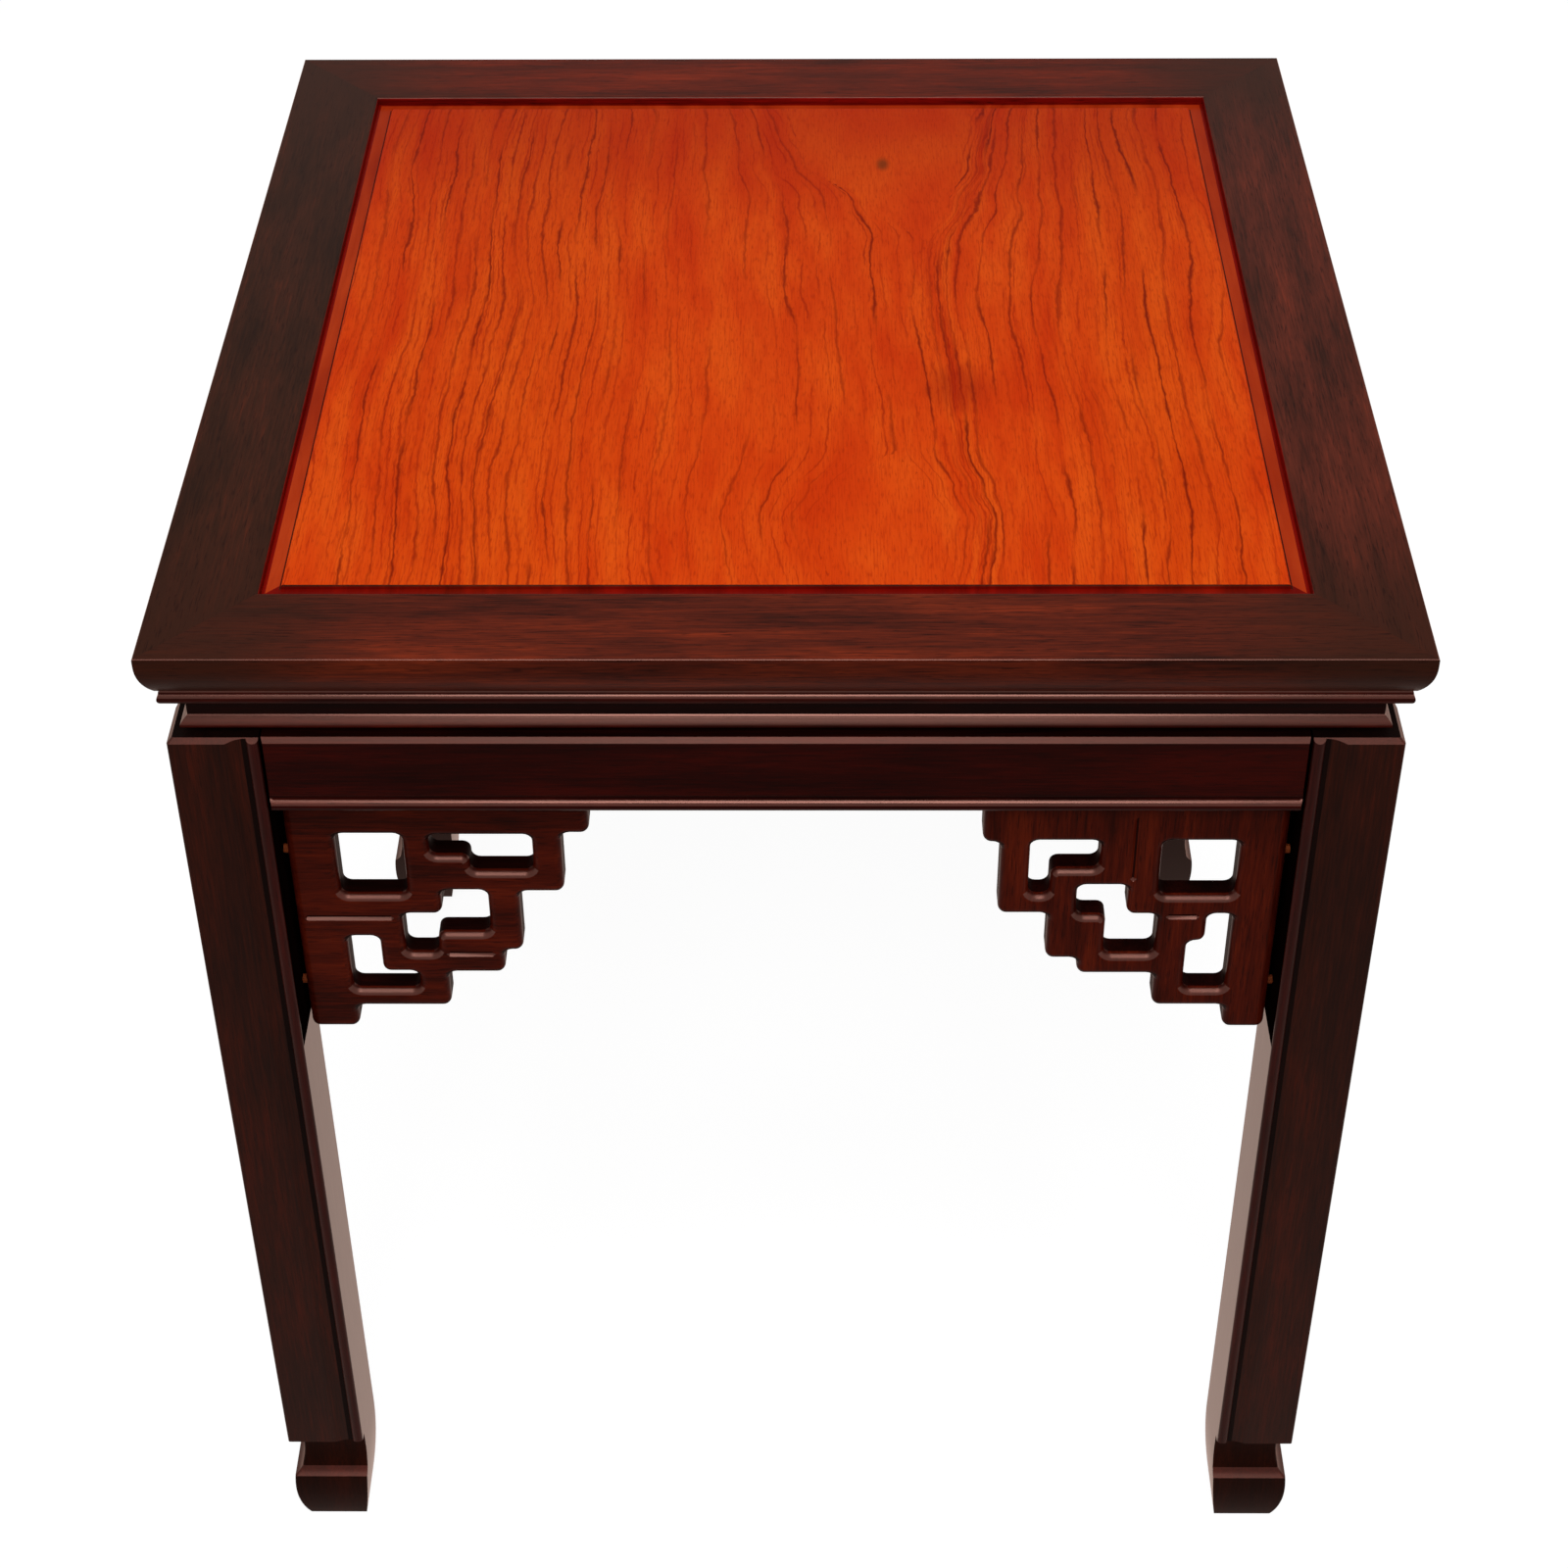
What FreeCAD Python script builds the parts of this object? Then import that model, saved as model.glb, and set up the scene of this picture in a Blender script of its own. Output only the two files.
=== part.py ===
import FreeCAD, Part
import math
import os
import re
import Sketcher

# Square waisted table: mitred frame top with a floating panel, moulded waist,
# aprons between square legs with hoof feet, and pierced fretwork brackets.
# The table stands on the XY plane with its centre on the Z axis; the front faces -Y.
doc = FreeCAD.newDocument("waisted_table")

# Driving sizes in millimetres
SIZES = {
    # whole table
    "top_width": 508,
    "top_depth": 508,
    "table_height": 559,
    # frame of the top
    "rail_width": 43.4,
    "rail_thickness": 20,
    "edge_flat": 4,
    "edge_inset": 5.5,
    "arris_round": 0.8,
    "opening_round": 1.2,
    "corner_tenon_width": 12,
    "corner_tenon_thickness": 6,
    "corner_tenon_inset": 12,
    "corner_tenon_stop": 8,
    # floating panel
    "panel_drop": 2,
    "margin_step": 1.8,
    "margin_width": 7.5,
    "panel_thickness": 12,
    "tongue_thickness": 5.5,
    "tongue_reach": 6,
    "panel_play": 1,
    # battens under the panel
    "batten_width": 24,
    "batten_height": 14,
    "batten_spacing": 170,
    "batten_tenon_width": 16,
    "batten_tenon_thickness": 4,
    "batten_tenon_length": 12,
    "key_height": 3.6,
    "key_neck": 10,
    "key_flare": 1.2,
    # bead strip, waist board and sloped moulding
    "bead_height": 8,
    "bead_setback": 5.5,
    "bead_rise": 3.4,
    "waist_height": 11,
    "waist_setback": 14.5,
    "waist_thickness": 10,
    "waist_tongue": 2.5,
    "waist_tongue_thickness": 4,
    "moulding_height": 7,
    "moulding_reach": 3,
    "moulding_nose": 1.3,
    "moulding_rest": 6.5,
    "shadow_gap": 2.2,
    # aprons
    "apron_height": 39,
    "apron_thickness": 26,
    "apron_setback": 0.5,
    "apron_chamfer": 2,
    "apron_groove": 3,
    "apron_bead": 6.2,
    "apron_bead_rise": 2.2,
    "apron_tenon_length": 12,
    "apron_tenon_thickness": 8,
    "apron_tenon_height": 28,
    # legs
    "leg_size": 36.8,
    "leg_setback": 6.2,
    "leg_chamfer": 2,
    "leg_arris": 1,
    "cove_width": 8.5,
    "cove_depth": 1.7,
    "leg_bead": 5,
    "leg_tenon_length": 7.5,
    "hoof_height": 61.8,
    "hoof_step": 5.5,
    "neck_hollow": 1.2,
    "ledge_depth": 3.7,
    "ledge_height": 3.8,
    "ridge_height": 34,
    "ridge_inset": 0.4,
    "hoof_swell": 2,
    "sole_inset": 4,
    "sole_taper": 4,
    "taper_height": 48,
    # fretwork brackets and their pegs
    "bracket_length": 126.9,
    "bracket_drop": 136.1,
    "bracket_thickness": 12,
    "bracket_setback": 12.5,
    "bracket_gap": 2.2,
    "bracket_round": 2.5,
    "peg_diameter": 4,
    "peg_depth": 8,
    # fits
    "joint_clearance": 0.2,
    "post_clearance": 0.5,
    "peg_clearance": 0.1,
    "cut_overrun": 5,
}
sheet = doc.addObject("Spreadsheet::Sheet", "Sizes")
for row, (word, number) in enumerate(SIZES.items(), start=1):
    sheet.set(f"A{row}", word)
    sheet.set(f"B{row}", str(number))
    sheet.setAlias(f"B{row}", word)
doc.recompute()

# Heights worked out from the driving sizes, from the top down
RAIL_BOTTOM = "(table_height - rail_thickness)"
BEAD_BOTTOM = f"({RAIL_BOTTOM} - bead_height)"
WAIST_BOTTOM = f"({BEAD_BOTTOM} - waist_height)"
BASE_TOP = f"({WAIST_BOTTOM} - moulding_height)"
APRON_BOTTOM = f"({BASE_TOP} - apron_height)"
TONGUE_TOP = "(table_height - panel_drop - margin_step)"
TONGUE_BOTTOM = f"({TONGUE_TOP} - tongue_thickness)"
PANEL_BOTTOM = "(table_height - panel_drop - panel_thickness)"

# Sides by the turn that brings the back to them, with their half length and half reach
SIDES = {
    "back": (0, "(top_width / 2)", "(top_depth / 2)"),
    "left": (90, "(top_depth / 2)", "(top_width / 2)"),
    "front": (180, "(top_width / 2)", "(top_depth / 2)"),
    "right": (270, "(top_depth / 2)", "(top_width / 2)"),
}
CONVEX = 1
HOLLOW = -1
UP = FreeCAD.Vector(0, 0, 1)
nodes = []


def cells(text):
    """Point each size name in an expression at its cell in the sheet."""
    return re.sub(r"[a-z_]+", lambda word: f"Sizes.{word[0]}" if word[0] in SIZES else word[0], text)


def worked_out(text):
    """Give an expression's present value."""
    return float(sheet.evalExpression(cells(text)))


def tangent_radius(inset, drop):
    """Radius of an arc that starts upright and moves in by inset over drop."""
    return f"(({inset}) ^ 2 + ({drop}) ^ 2) / (2 * ({inset}))"


def rise_radius(across, up, rise):
    """Radius of an arc over a chord, from how far the arc rises above it."""
    return f"((({across}) ^ 2 + ({up}) ^ 2) / (8 * ({rise})) + ({rise}) / 2)"


def new_body(name, turn=0, place=("0", "0", "0")):
    """Start a piece as a body, turned about the table's axis and set in its place."""
    body = doc.addObject("PartDesign::Body", name)
    body.Label = name
    body.Placement = FreeCAD.Placement(FreeCAD.Vector(), FreeCAD.Rotation(UP, turn))
    for axis, text in zip("xyz", place):
        body.setExpression(f"Placement.Base.{axis}", cells(text))
    nodes.append(body)
    return body


def new_sketch(body, plane_role, lift="0"):
    """Open a sketch on one of the body's own planes, lifted along the plane's normal."""
    sketch = body.newObject("Sketcher::SketchObject", f"{body.Label}_sketch")
    plane = next(item for item in body.Origin.OriginFeatures if item.Role == plane_role)
    sketch.AttachmentSupport = [(plane, "")]
    sketch.MapMode = "FlatFace"
    sketch.setExpression("AttachmentOffset.Base.z", cells(lift))
    return sketch


def edge_between(start, end, bend):
    """Make a sketch edge, and say which of its ends is the run's start and which its end."""
    if bend is None:
        return Part.LineSegment(start, end), 1, 2
    side, radius_text = bend
    chord = end - start
    half = chord.Length / 2
    radius = max(worked_out(radius_text), half)
    right = FreeCAD.Vector(chord.y, -chord.x, 0).normalize()
    centre = (start + end) / 2 - right * (side * math.sqrt(radius ** 2 - half ** 2))
    first, last = (start, end) if side == CONVEX else (end, start)
    angles = [math.atan2(point.y - centre.y, point.x - centre.x) for point in (first, last)]
    if angles[1] < angles[0]:
        angles[1] += 2 * math.pi
    arc = Part.ArcOfCircle(Part.Circle(centre, UP, radius), *angles)
    return (arc, 1, 2) if side == CONVEX else (arc, 2, 1)


def draw_loop(sketch, points):
    """Draw a closed outline, anticlockwise. A point is (across, up), with a (side, radius)
    bend after it where an arc leaves it. Every point and radius is bound to the sheet."""
    spots = [FreeCAD.Vector(worked_out(point[0]), worked_out(point[1]), 0) for point in points]
    ends = []
    for index, point in enumerate(points):
        bend = point[2] if len(point) > 2 else None
        edge, start, end = edge_between(spots[index], spots[(index + 1) % len(spots)], bend)
        ends.append((sketch.addGeometry(edge, False), start, end))
    bindings = []
    for index, point in enumerate(points):
        geometry, start, end = ends[index]
        following, following_start, _ = ends[(index + 1) % len(ends)]
        sketch.addConstraint(Sketcher.Constraint("Coincident", geometry, end, following, following_start))
        for kind, text in zip(("DistanceX", "DistanceY"), point):
            rule = Sketcher.Constraint(kind, geometry, start, worked_out(text))
            bindings.append((sketch.addConstraint(rule), text))
        if len(point) > 2:
            rule = Sketcher.Constraint("Radius", geometry, worked_out(point[2][1]))
            bindings.append((sketch.addConstraint(rule), point[2][1]))
    for number, text in bindings:
        sketch.setExpression(f"Constraints[{number}]", cells(text))


def draw_hole(sketch, across, up, diameter):
    """Draw a round hole, with its centre and diameter bound to the sheet."""
    centre = FreeCAD.Vector(worked_out(across), worked_out(up), 0)
    circle = sketch.addGeometry(Part.Circle(centre, UP, worked_out(diameter) / 2), False)
    rules = (("DistanceX", 3, across), ("DistanceY", 3, up))
    for kind, spot, text in rules:
        number = sketch.addConstraint(Sketcher.Constraint(kind, circle, spot, worked_out(text)))
        sketch.setExpression(f"Constraints[{number}]", cells(text))
    number = sketch.addConstraint(Sketcher.Constraint("Diameter", circle, worked_out(diameter)))
    sketch.setExpression(f"Constraints[{number}]", cells(diameter))


def rectangle(left, right, low, high):
    """Corners of a rectangle, anticlockwise."""
    return [(left, low), (right, low), (right, high), (left, high)]


def both_ends(points):
    """A loop near one end of a piece, and its mirror image near the other end."""
    return [points, [(f"-({across})", up) for across, up in reversed(points)]]


def pad(body, plane_role, loops, length, lift="0", centred=False):
    """Draw closed loops and thicken them."""
    sketch = new_sketch(body, plane_role, lift)
    for points in loops:
        draw_loop(sketch, points)
    feature = body.newObject("PartDesign::Pad", f"{body.Label}_pad")
    feature.Profile = sketch
    feature.SideType = "Symmetric" if centred else "One side"
    feature.setExpression("Length", cells(length))
    return feature


def cut(body, sketch, length=None, forward=False):
    """Cut a drawn sketch out of a body: right through it, or to a depth."""
    feature = body.newObject("PartDesign::Pocket", f"{body.Label}_cut")
    feature.Profile = sketch
    if length is None:
        feature.Type = "ThroughAll"
        feature.SideType = "Symmetric"
    else:
        feature.setExpression("Length", cells(length))
        feature.Reversed = forward
    return feature


def cut_loops(body, plane_role, loops, length=None, lift="0", forward=False):
    """Draw closed loops and cut them out of a body."""
    sketch = new_sketch(body, plane_role, lift)
    for points in loops:
        draw_loop(sketch, points)
    return cut(body, sketch, length, forward)


def mitred_strip(name, side, profile, along, out, inner):
    """Run a profile along one side of the table and cut both its ends to the mitre."""
    body = new_body(f"{name}_{side}", SIDES[side][0])
    pad(body, "YZ_Plane", [profile], f"2 * {along}", centred=True)
    near = f"({inner} - cut_overrun)"
    far = f"({out} + cut_overrun)"
    waste = [
        (f"{along} - {out} + {near}", near),
        (f"{along} + cut_overrun", near),
        (f"{along} + cut_overrun", far),
    ]
    cut_loops(body, "XY_Plane", both_ends(waste))
    return body


# Leg tenons: the post above the leg stands inside the waist and carries two tenons,
# one into each rail, as shares of the post's size
POST_OUT = "(waist_setback + waist_thickness + post_clearance - leg_setback)"
POST_SIZE = f"(leg_size - {POST_OUT})"
TENON_SHOULDER_SHARE = "0.08"
TENON_WIDTH_SHARE = "0.42"
TENON_THICKNESS_SHARE = "0.33"
TENON_NEAR = f"({POST_OUT} + {TENON_SHOULDER_SHARE} * {POST_SIZE})"
TENON_FAR = f"({TENON_NEAR} + {TENON_WIDTH_SHARE} * {POST_SIZE})"
TENON_BACK = f"(leg_size - {TENON_SHOULDER_SHARE} * {POST_SIZE})"
TENON_FRONT = f"({TENON_BACK} - {TENON_THICKNESS_SHARE} * {POST_SIZE})"

# Corner joint of the frame: a stub tenon on the side rails, half way up the rail
CORNER_TENON_BOTTOM = f"({RAIL_BOTTOM} + (rail_thickness - corner_tenon_thickness) / 2)"
CORNER_TENON_BACK = "(corner_tenon_inset + corner_tenon_width)"
BATTEN_TENON_BOTTOM = f"({PANEL_BOTTOM} - batten_tenon_thickness)"


def top_rail(side):
    """A frame rail: moulded outer edge, groove for the panel, mitred ends and joints."""
    _, along, out = SIDES[side]
    inner = f"({out} - rail_width)"
    groove_floor = f"({inner} + tongue_reach + panel_play)"
    groove_top = f"({TONGUE_TOP} + joint_clearance)"
    edge_drop = "(rail_thickness - edge_flat)"
    profile = [
        (inner, RAIL_BOTTOM),
        (f"{out} - edge_inset", RAIL_BOTTOM, (CONVEX, tangent_radius("edge_inset", edge_drop))),
        (out, "table_height - edge_flat"),
        (out, "table_height - arris_round", (CONVEX, "arris_round")),
        (f"{out} - arris_round", "table_height"),
        (f"{inner} + opening_round", "table_height", (CONVEX, "opening_round")),
        (inner, "table_height - opening_round"),
        (inner, groove_top),
        (groove_floor, groove_top),
        (groove_floor, TONGUE_BOTTOM),
        (inner, TONGUE_BOTTOM),
    ]
    body = mitred_strip("top_rail", side, profile, along, out, inner)
    leg_mortise = rectangle(
        f"{along} - leg_setback - {TENON_BACK} - joint_clearance",
        f"{along} - leg_setback - {TENON_FRONT} + joint_clearance",
        f"{out} - leg_setback - {TENON_FAR} - joint_clearance",
        f"{out} - leg_setback - {TENON_NEAR} + joint_clearance",
    )
    mortise_depth = "leg_tenon_length + joint_clearance"
    cut_loops(body, "XY_Plane", both_ends(leg_mortise), mortise_depth, RAIL_BOTTOM, forward=True)
    if side in ("left", "right"):
        tenon = [
            (f"{along} - {CORNER_TENON_BACK}", f"{out} - {CORNER_TENON_BACK}"),
            (f"{along} - corner_tenon_stop", f"{out} - {CORNER_TENON_BACK}"),
            (f"{along} - corner_tenon_stop", f"{out} - corner_tenon_inset"),
            (f"{along} - corner_tenon_inset", f"{out} - corner_tenon_inset"),
        ]
        pad(body, "XY_Plane", both_ends(tenon), "corner_tenon_thickness", CORNER_TENON_BOTTOM)
        batten_mortise = rectangle(
            "batten_spacing / 2 - batten_tenon_width / 2 - joint_clearance",
            "batten_spacing / 2 + batten_tenon_width / 2 + joint_clearance",
            f"{inner} - cut_overrun",
            f"{inner} + batten_tenon_length + joint_clearance",
        )
        mortise_height = "batten_tenon_thickness + 2 * joint_clearance"
        mortise_bottom = f"{BATTEN_TENON_BOTTOM} - joint_clearance"
        cut_loops(body, "XY_Plane", both_ends(batten_mortise), mortise_height, mortise_bottom, forward=True)
    else:
        mortise = rectangle(
            f"{along} - {CORNER_TENON_BACK} - joint_clearance",
            f"{along} - corner_tenon_inset + joint_clearance",
            f"{out} - {CORNER_TENON_BACK} - cut_overrun",
            f"{out} - corner_tenon_stop + joint_clearance",
        )
        mortise_height = "corner_tenon_thickness + 2 * joint_clearance"
        mortise_bottom = f"{CORNER_TENON_BOTTOM} - joint_clearance"
        cut_loops(body, "XY_Plane", both_ends(mortise), mortise_height, mortise_bottom, forward=True)


def centre_panel():
    """The floating panel: raised field, tongue in the rails' grooves, dovetail slots below."""
    body = new_body("centre_panel")
    field_across = "(top_width / 2 - rail_width - margin_width)"
    field_deep = "(top_depth / 2 - rail_width - margin_width)"
    field = rectangle(f"-{field_across}", field_across, f"-{field_deep}", field_deep)
    pad(body, "XY_Plane", [field], "panel_thickness", PANEL_BOTTOM)
    tongue_across = "(top_width / 2 - rail_width + tongue_reach)"
    tongue_deep = "(top_depth / 2 - rail_width + tongue_reach)"
    tongue = rectangle(f"-{tongue_across}", tongue_across, f"-{tongue_deep}", tongue_deep)
    pad(body, "XY_Plane", [tongue], "tongue_thickness", TONGUE_BOTTOM)
    slot_top = f"{PANEL_BOTTOM} + key_height + joint_clearance"
    neck = "(key_neck / 2 + joint_clearance)"
    slot = [
        (f"batten_spacing / 2 - {neck}", PANEL_BOTTOM),
        (f"batten_spacing / 2 + {neck}", PANEL_BOTTOM),
        (f"batten_spacing / 2 + {neck} + key_flare", slot_top),
        (f"batten_spacing / 2 - {neck} - key_flare", slot_top),
    ]
    cut_loops(body, "YZ_Plane", both_ends(slot))


def panel_batten(name, hand):
    """A batten across the panel: a dovetail key along its top, a tenon at each end."""
    body = new_body(name, 0, ("0", f"{hand} * batten_spacing / 2", "0"))
    half = "(batten_width / 2)"
    bottom = f"({PANEL_BOTTOM} - batten_height)"
    key_top = f"({PANEL_BOTTOM} + key_height)"
    profile = [
        (f"-{half}", bottom),
        (half, bottom),
        (half, PANEL_BOTTOM),
        ("key_neck / 2", PANEL_BOTTOM),
        ("key_neck / 2 + key_flare", key_top),
        ("-(key_neck / 2 + key_flare)", key_top),
        ("-key_neck / 2", PANEL_BOTTOM),
        (f"-{half}", PANEL_BOTTOM),
    ]
    opening = "(top_width / 2 - rail_width)"
    pad(body, "YZ_Plane", [profile], f"2 * {opening}", centred=True)
    tenon = rectangle(
        f"-({opening} + batten_tenon_length)",
        f"{opening} + batten_tenon_length",
        "-batten_tenon_width / 2",
        "batten_tenon_width / 2",
    )
    pad(body, "XY_Plane", [tenon], "batten_tenon_thickness", BATTEN_TENON_BOTTOM)


def waist_lines(out):
    """Outer face, inner face and the two tongue faces of the waist on one side."""
    outer = f"({out} - waist_setback)"
    inner = f"({outer} - waist_thickness)"
    tongue_in = f"({outer} - (waist_thickness + waist_tongue_thickness) / 2)"
    tongue_out = f"({tongue_in} + waist_tongue_thickness)"
    return outer, inner, tongue_in, tongue_out


def bead_strip(side):
    """The round-edged strip glued under the rails, grooved below for the waist."""
    _, along, out = SIDES[side]
    _, inner, tongue_in, tongue_out = waist_lines(out)
    spring = f"({out} - bead_setback - bead_rise)"
    groove_top = f"({BEAD_BOTTOM} + waist_tongue + joint_clearance)"
    profile = [
        (inner, BEAD_BOTTOM),
        (f"{tongue_in} - joint_clearance", BEAD_BOTTOM),
        (f"{tongue_in} - joint_clearance", groove_top),
        (f"{tongue_out} + joint_clearance", groove_top),
        (f"{tongue_out} + joint_clearance", BEAD_BOTTOM),
        (spring, BEAD_BOTTOM, (CONVEX, rise_radius("0", "bead_height", "bead_rise"))),
        (spring, RAIL_BOTTOM),
        (inner, RAIL_BOTTOM),
    ]
    mitred_strip("bead_strip", side, profile, along, out, inner)


def waist_board(side):
    """The narrow recessed board, tongued into the strip above and the moulding below."""
    _, along, out = SIDES[side]
    outer, inner, tongue_in, tongue_out = waist_lines(out)
    profile = [
        (inner, WAIST_BOTTOM),
        (tongue_in, WAIST_BOTTOM),
        (tongue_in, f"{WAIST_BOTTOM} - waist_tongue"),
        (tongue_out, f"{WAIST_BOTTOM} - waist_tongue"),
        (tongue_out, WAIST_BOTTOM),
        (outer, WAIST_BOTTOM),
        (outer, BEAD_BOTTOM),
        (tongue_out, BEAD_BOTTOM),
        (tongue_out, f"{BEAD_BOTTOM} + waist_tongue"),
        (tongue_in, f"{BEAD_BOTTOM} + waist_tongue"),
        (tongue_in, BEAD_BOTTOM),
        (inner, BEAD_BOTTOM),
    ]
    mitred_strip("waist_board", side, profile, along, out, inner)


def waist_moulding(side):
    """The sloped moulding under the waist, rebated below to leave a shadow gap."""
    _, along, out = SIDES[side]
    outer, inner, tongue_in, tongue_out = waist_lines(out)
    nose = f"({outer} + moulding_reach)"
    nose_bottom = f"({BASE_TOP} + shadow_gap)"
    slope_foot = f"({nose_bottom} + moulding_nose)"
    slope_drop = f"({WAIST_BOTTOM} - {slope_foot})"
    groove_floor = f"({WAIST_BOTTOM} - waist_tongue - joint_clearance)"
    profile = [
        (inner, BASE_TOP),
        (f"{inner} + moulding_rest", BASE_TOP),
        (f"{inner} + moulding_rest", nose_bottom),
        (nose, nose_bottom),
        (nose, slope_foot, (HOLLOW, tangent_radius("moulding_reach", slope_drop))),
        (outer, WAIST_BOTTOM),
        (f"{tongue_out} + joint_clearance", WAIST_BOTTOM),
        (f"{tongue_out} + joint_clearance", groove_floor),
        (f"{tongue_in} - joint_clearance", groove_floor),
        (f"{tongue_in} - joint_clearance", WAIST_BOTTOM),
        (inner, WAIST_BOTTOM),
    ]
    mitred_strip("waist_moulding", side, profile, along, out, inner)


# Apron tenon, measured in from the leg's outer face and up from the floor
APRON_TENON_NEAR = "(apron_setback + (apron_thickness - apron_tenon_thickness) / 2)"
APRON_TENON_FAR = f"({APRON_TENON_NEAR} + apron_tenon_thickness)"
APRON_TENON_BOTTOM = f"({APRON_BOTTOM} + (apron_height - apron_tenon_height) / 2)"
APRON_TENON_TOP = f"({APRON_TENON_BOTTOM} + apron_tenon_height)"

# Bracket pegs: their line behind the leg's face, and where they sit on a bracket
PEG_LINE = "(apron_setback + bracket_setback + bracket_thickness / 2)"
LEG_PEG_DROP_SHARES = (0.26, 0.82)
APRON_PEG_PLACE_SHARES = (0.07, 0.87)
PEG_HOLE = "peg_diameter + 2 * peg_clearance"
# Seen from outside a side, its left end is at +X of the side as drawn and its right end at -X
HANDS = {"left": 1, "right": -1}


def apron(side):
    """The board between two legs: bevelled top edge, groove and bead below, tenoned ends."""
    turn, along, out = SIDES[side]
    body = new_body(f"apron_{side}", turn)
    leg_face = f"({out} - leg_setback)"
    face = f"({leg_face} - apron_setback)"
    back = f"({face} - apron_thickness)"
    fillet_line = f"({face} - apron_bead_rise)"
    bead_top = f"({APRON_BOTTOM} + apron_bead)"
    profile = [
        (back, APRON_BOTTOM),
        (fillet_line, APRON_BOTTOM, (CONVEX, rise_radius("0", "apron_bead", "apron_bead_rise"))),
        (fillet_line, bead_top),
        (fillet_line, f"{bead_top} + apron_groove"),
        (face, f"{bead_top} + apron_groove"),
        (face, f"{BASE_TOP} - apron_chamfer"),
        (f"{face} - apron_chamfer", BASE_TOP),
        (back, BASE_TOP),
    ]
    half_length = f"({along} - leg_setback - leg_size)"
    pad(body, "YZ_Plane", [profile], f"2 * {half_length}", centred=True)
    tenon = rectangle(
        f"{leg_face} - {APRON_TENON_FAR}",
        f"{leg_face} - {APRON_TENON_NEAR}",
        APRON_TENON_BOTTOM,
        APRON_TENON_TOP,
    )
    pad(body, "YZ_Plane", [tenon], f"2 * ({half_length} + apron_tenon_length)", centred=True)
    holes = new_sketch(body, "XY_Plane", APRON_BOTTOM)
    for hand in HANDS.values():
        for share in APRON_PEG_PLACE_SHARES:
            peg_across = f"{hand} * ({half_length} - bracket_gap - {share} * bracket_length)"
            draw_hole(holes, peg_across, f"{leg_face} - {PEG_LINE}", PEG_HOLE)
    cut(body, holes, "peg_depth", forward=True)


def face_moulding():
    """Scoop and bead of one leg face: distances in from the corner, and the bends."""
    bead_start = "(leg_size - leg_bead)"
    cove_start = f"({bead_start} - cove_width)"
    cove = tangent_radius("cove_depth", "cove_width")
    bead = rise_radius("leg_bead", "0", "cove_depth")
    return cove_start, bead_start, cove, bead


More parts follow.
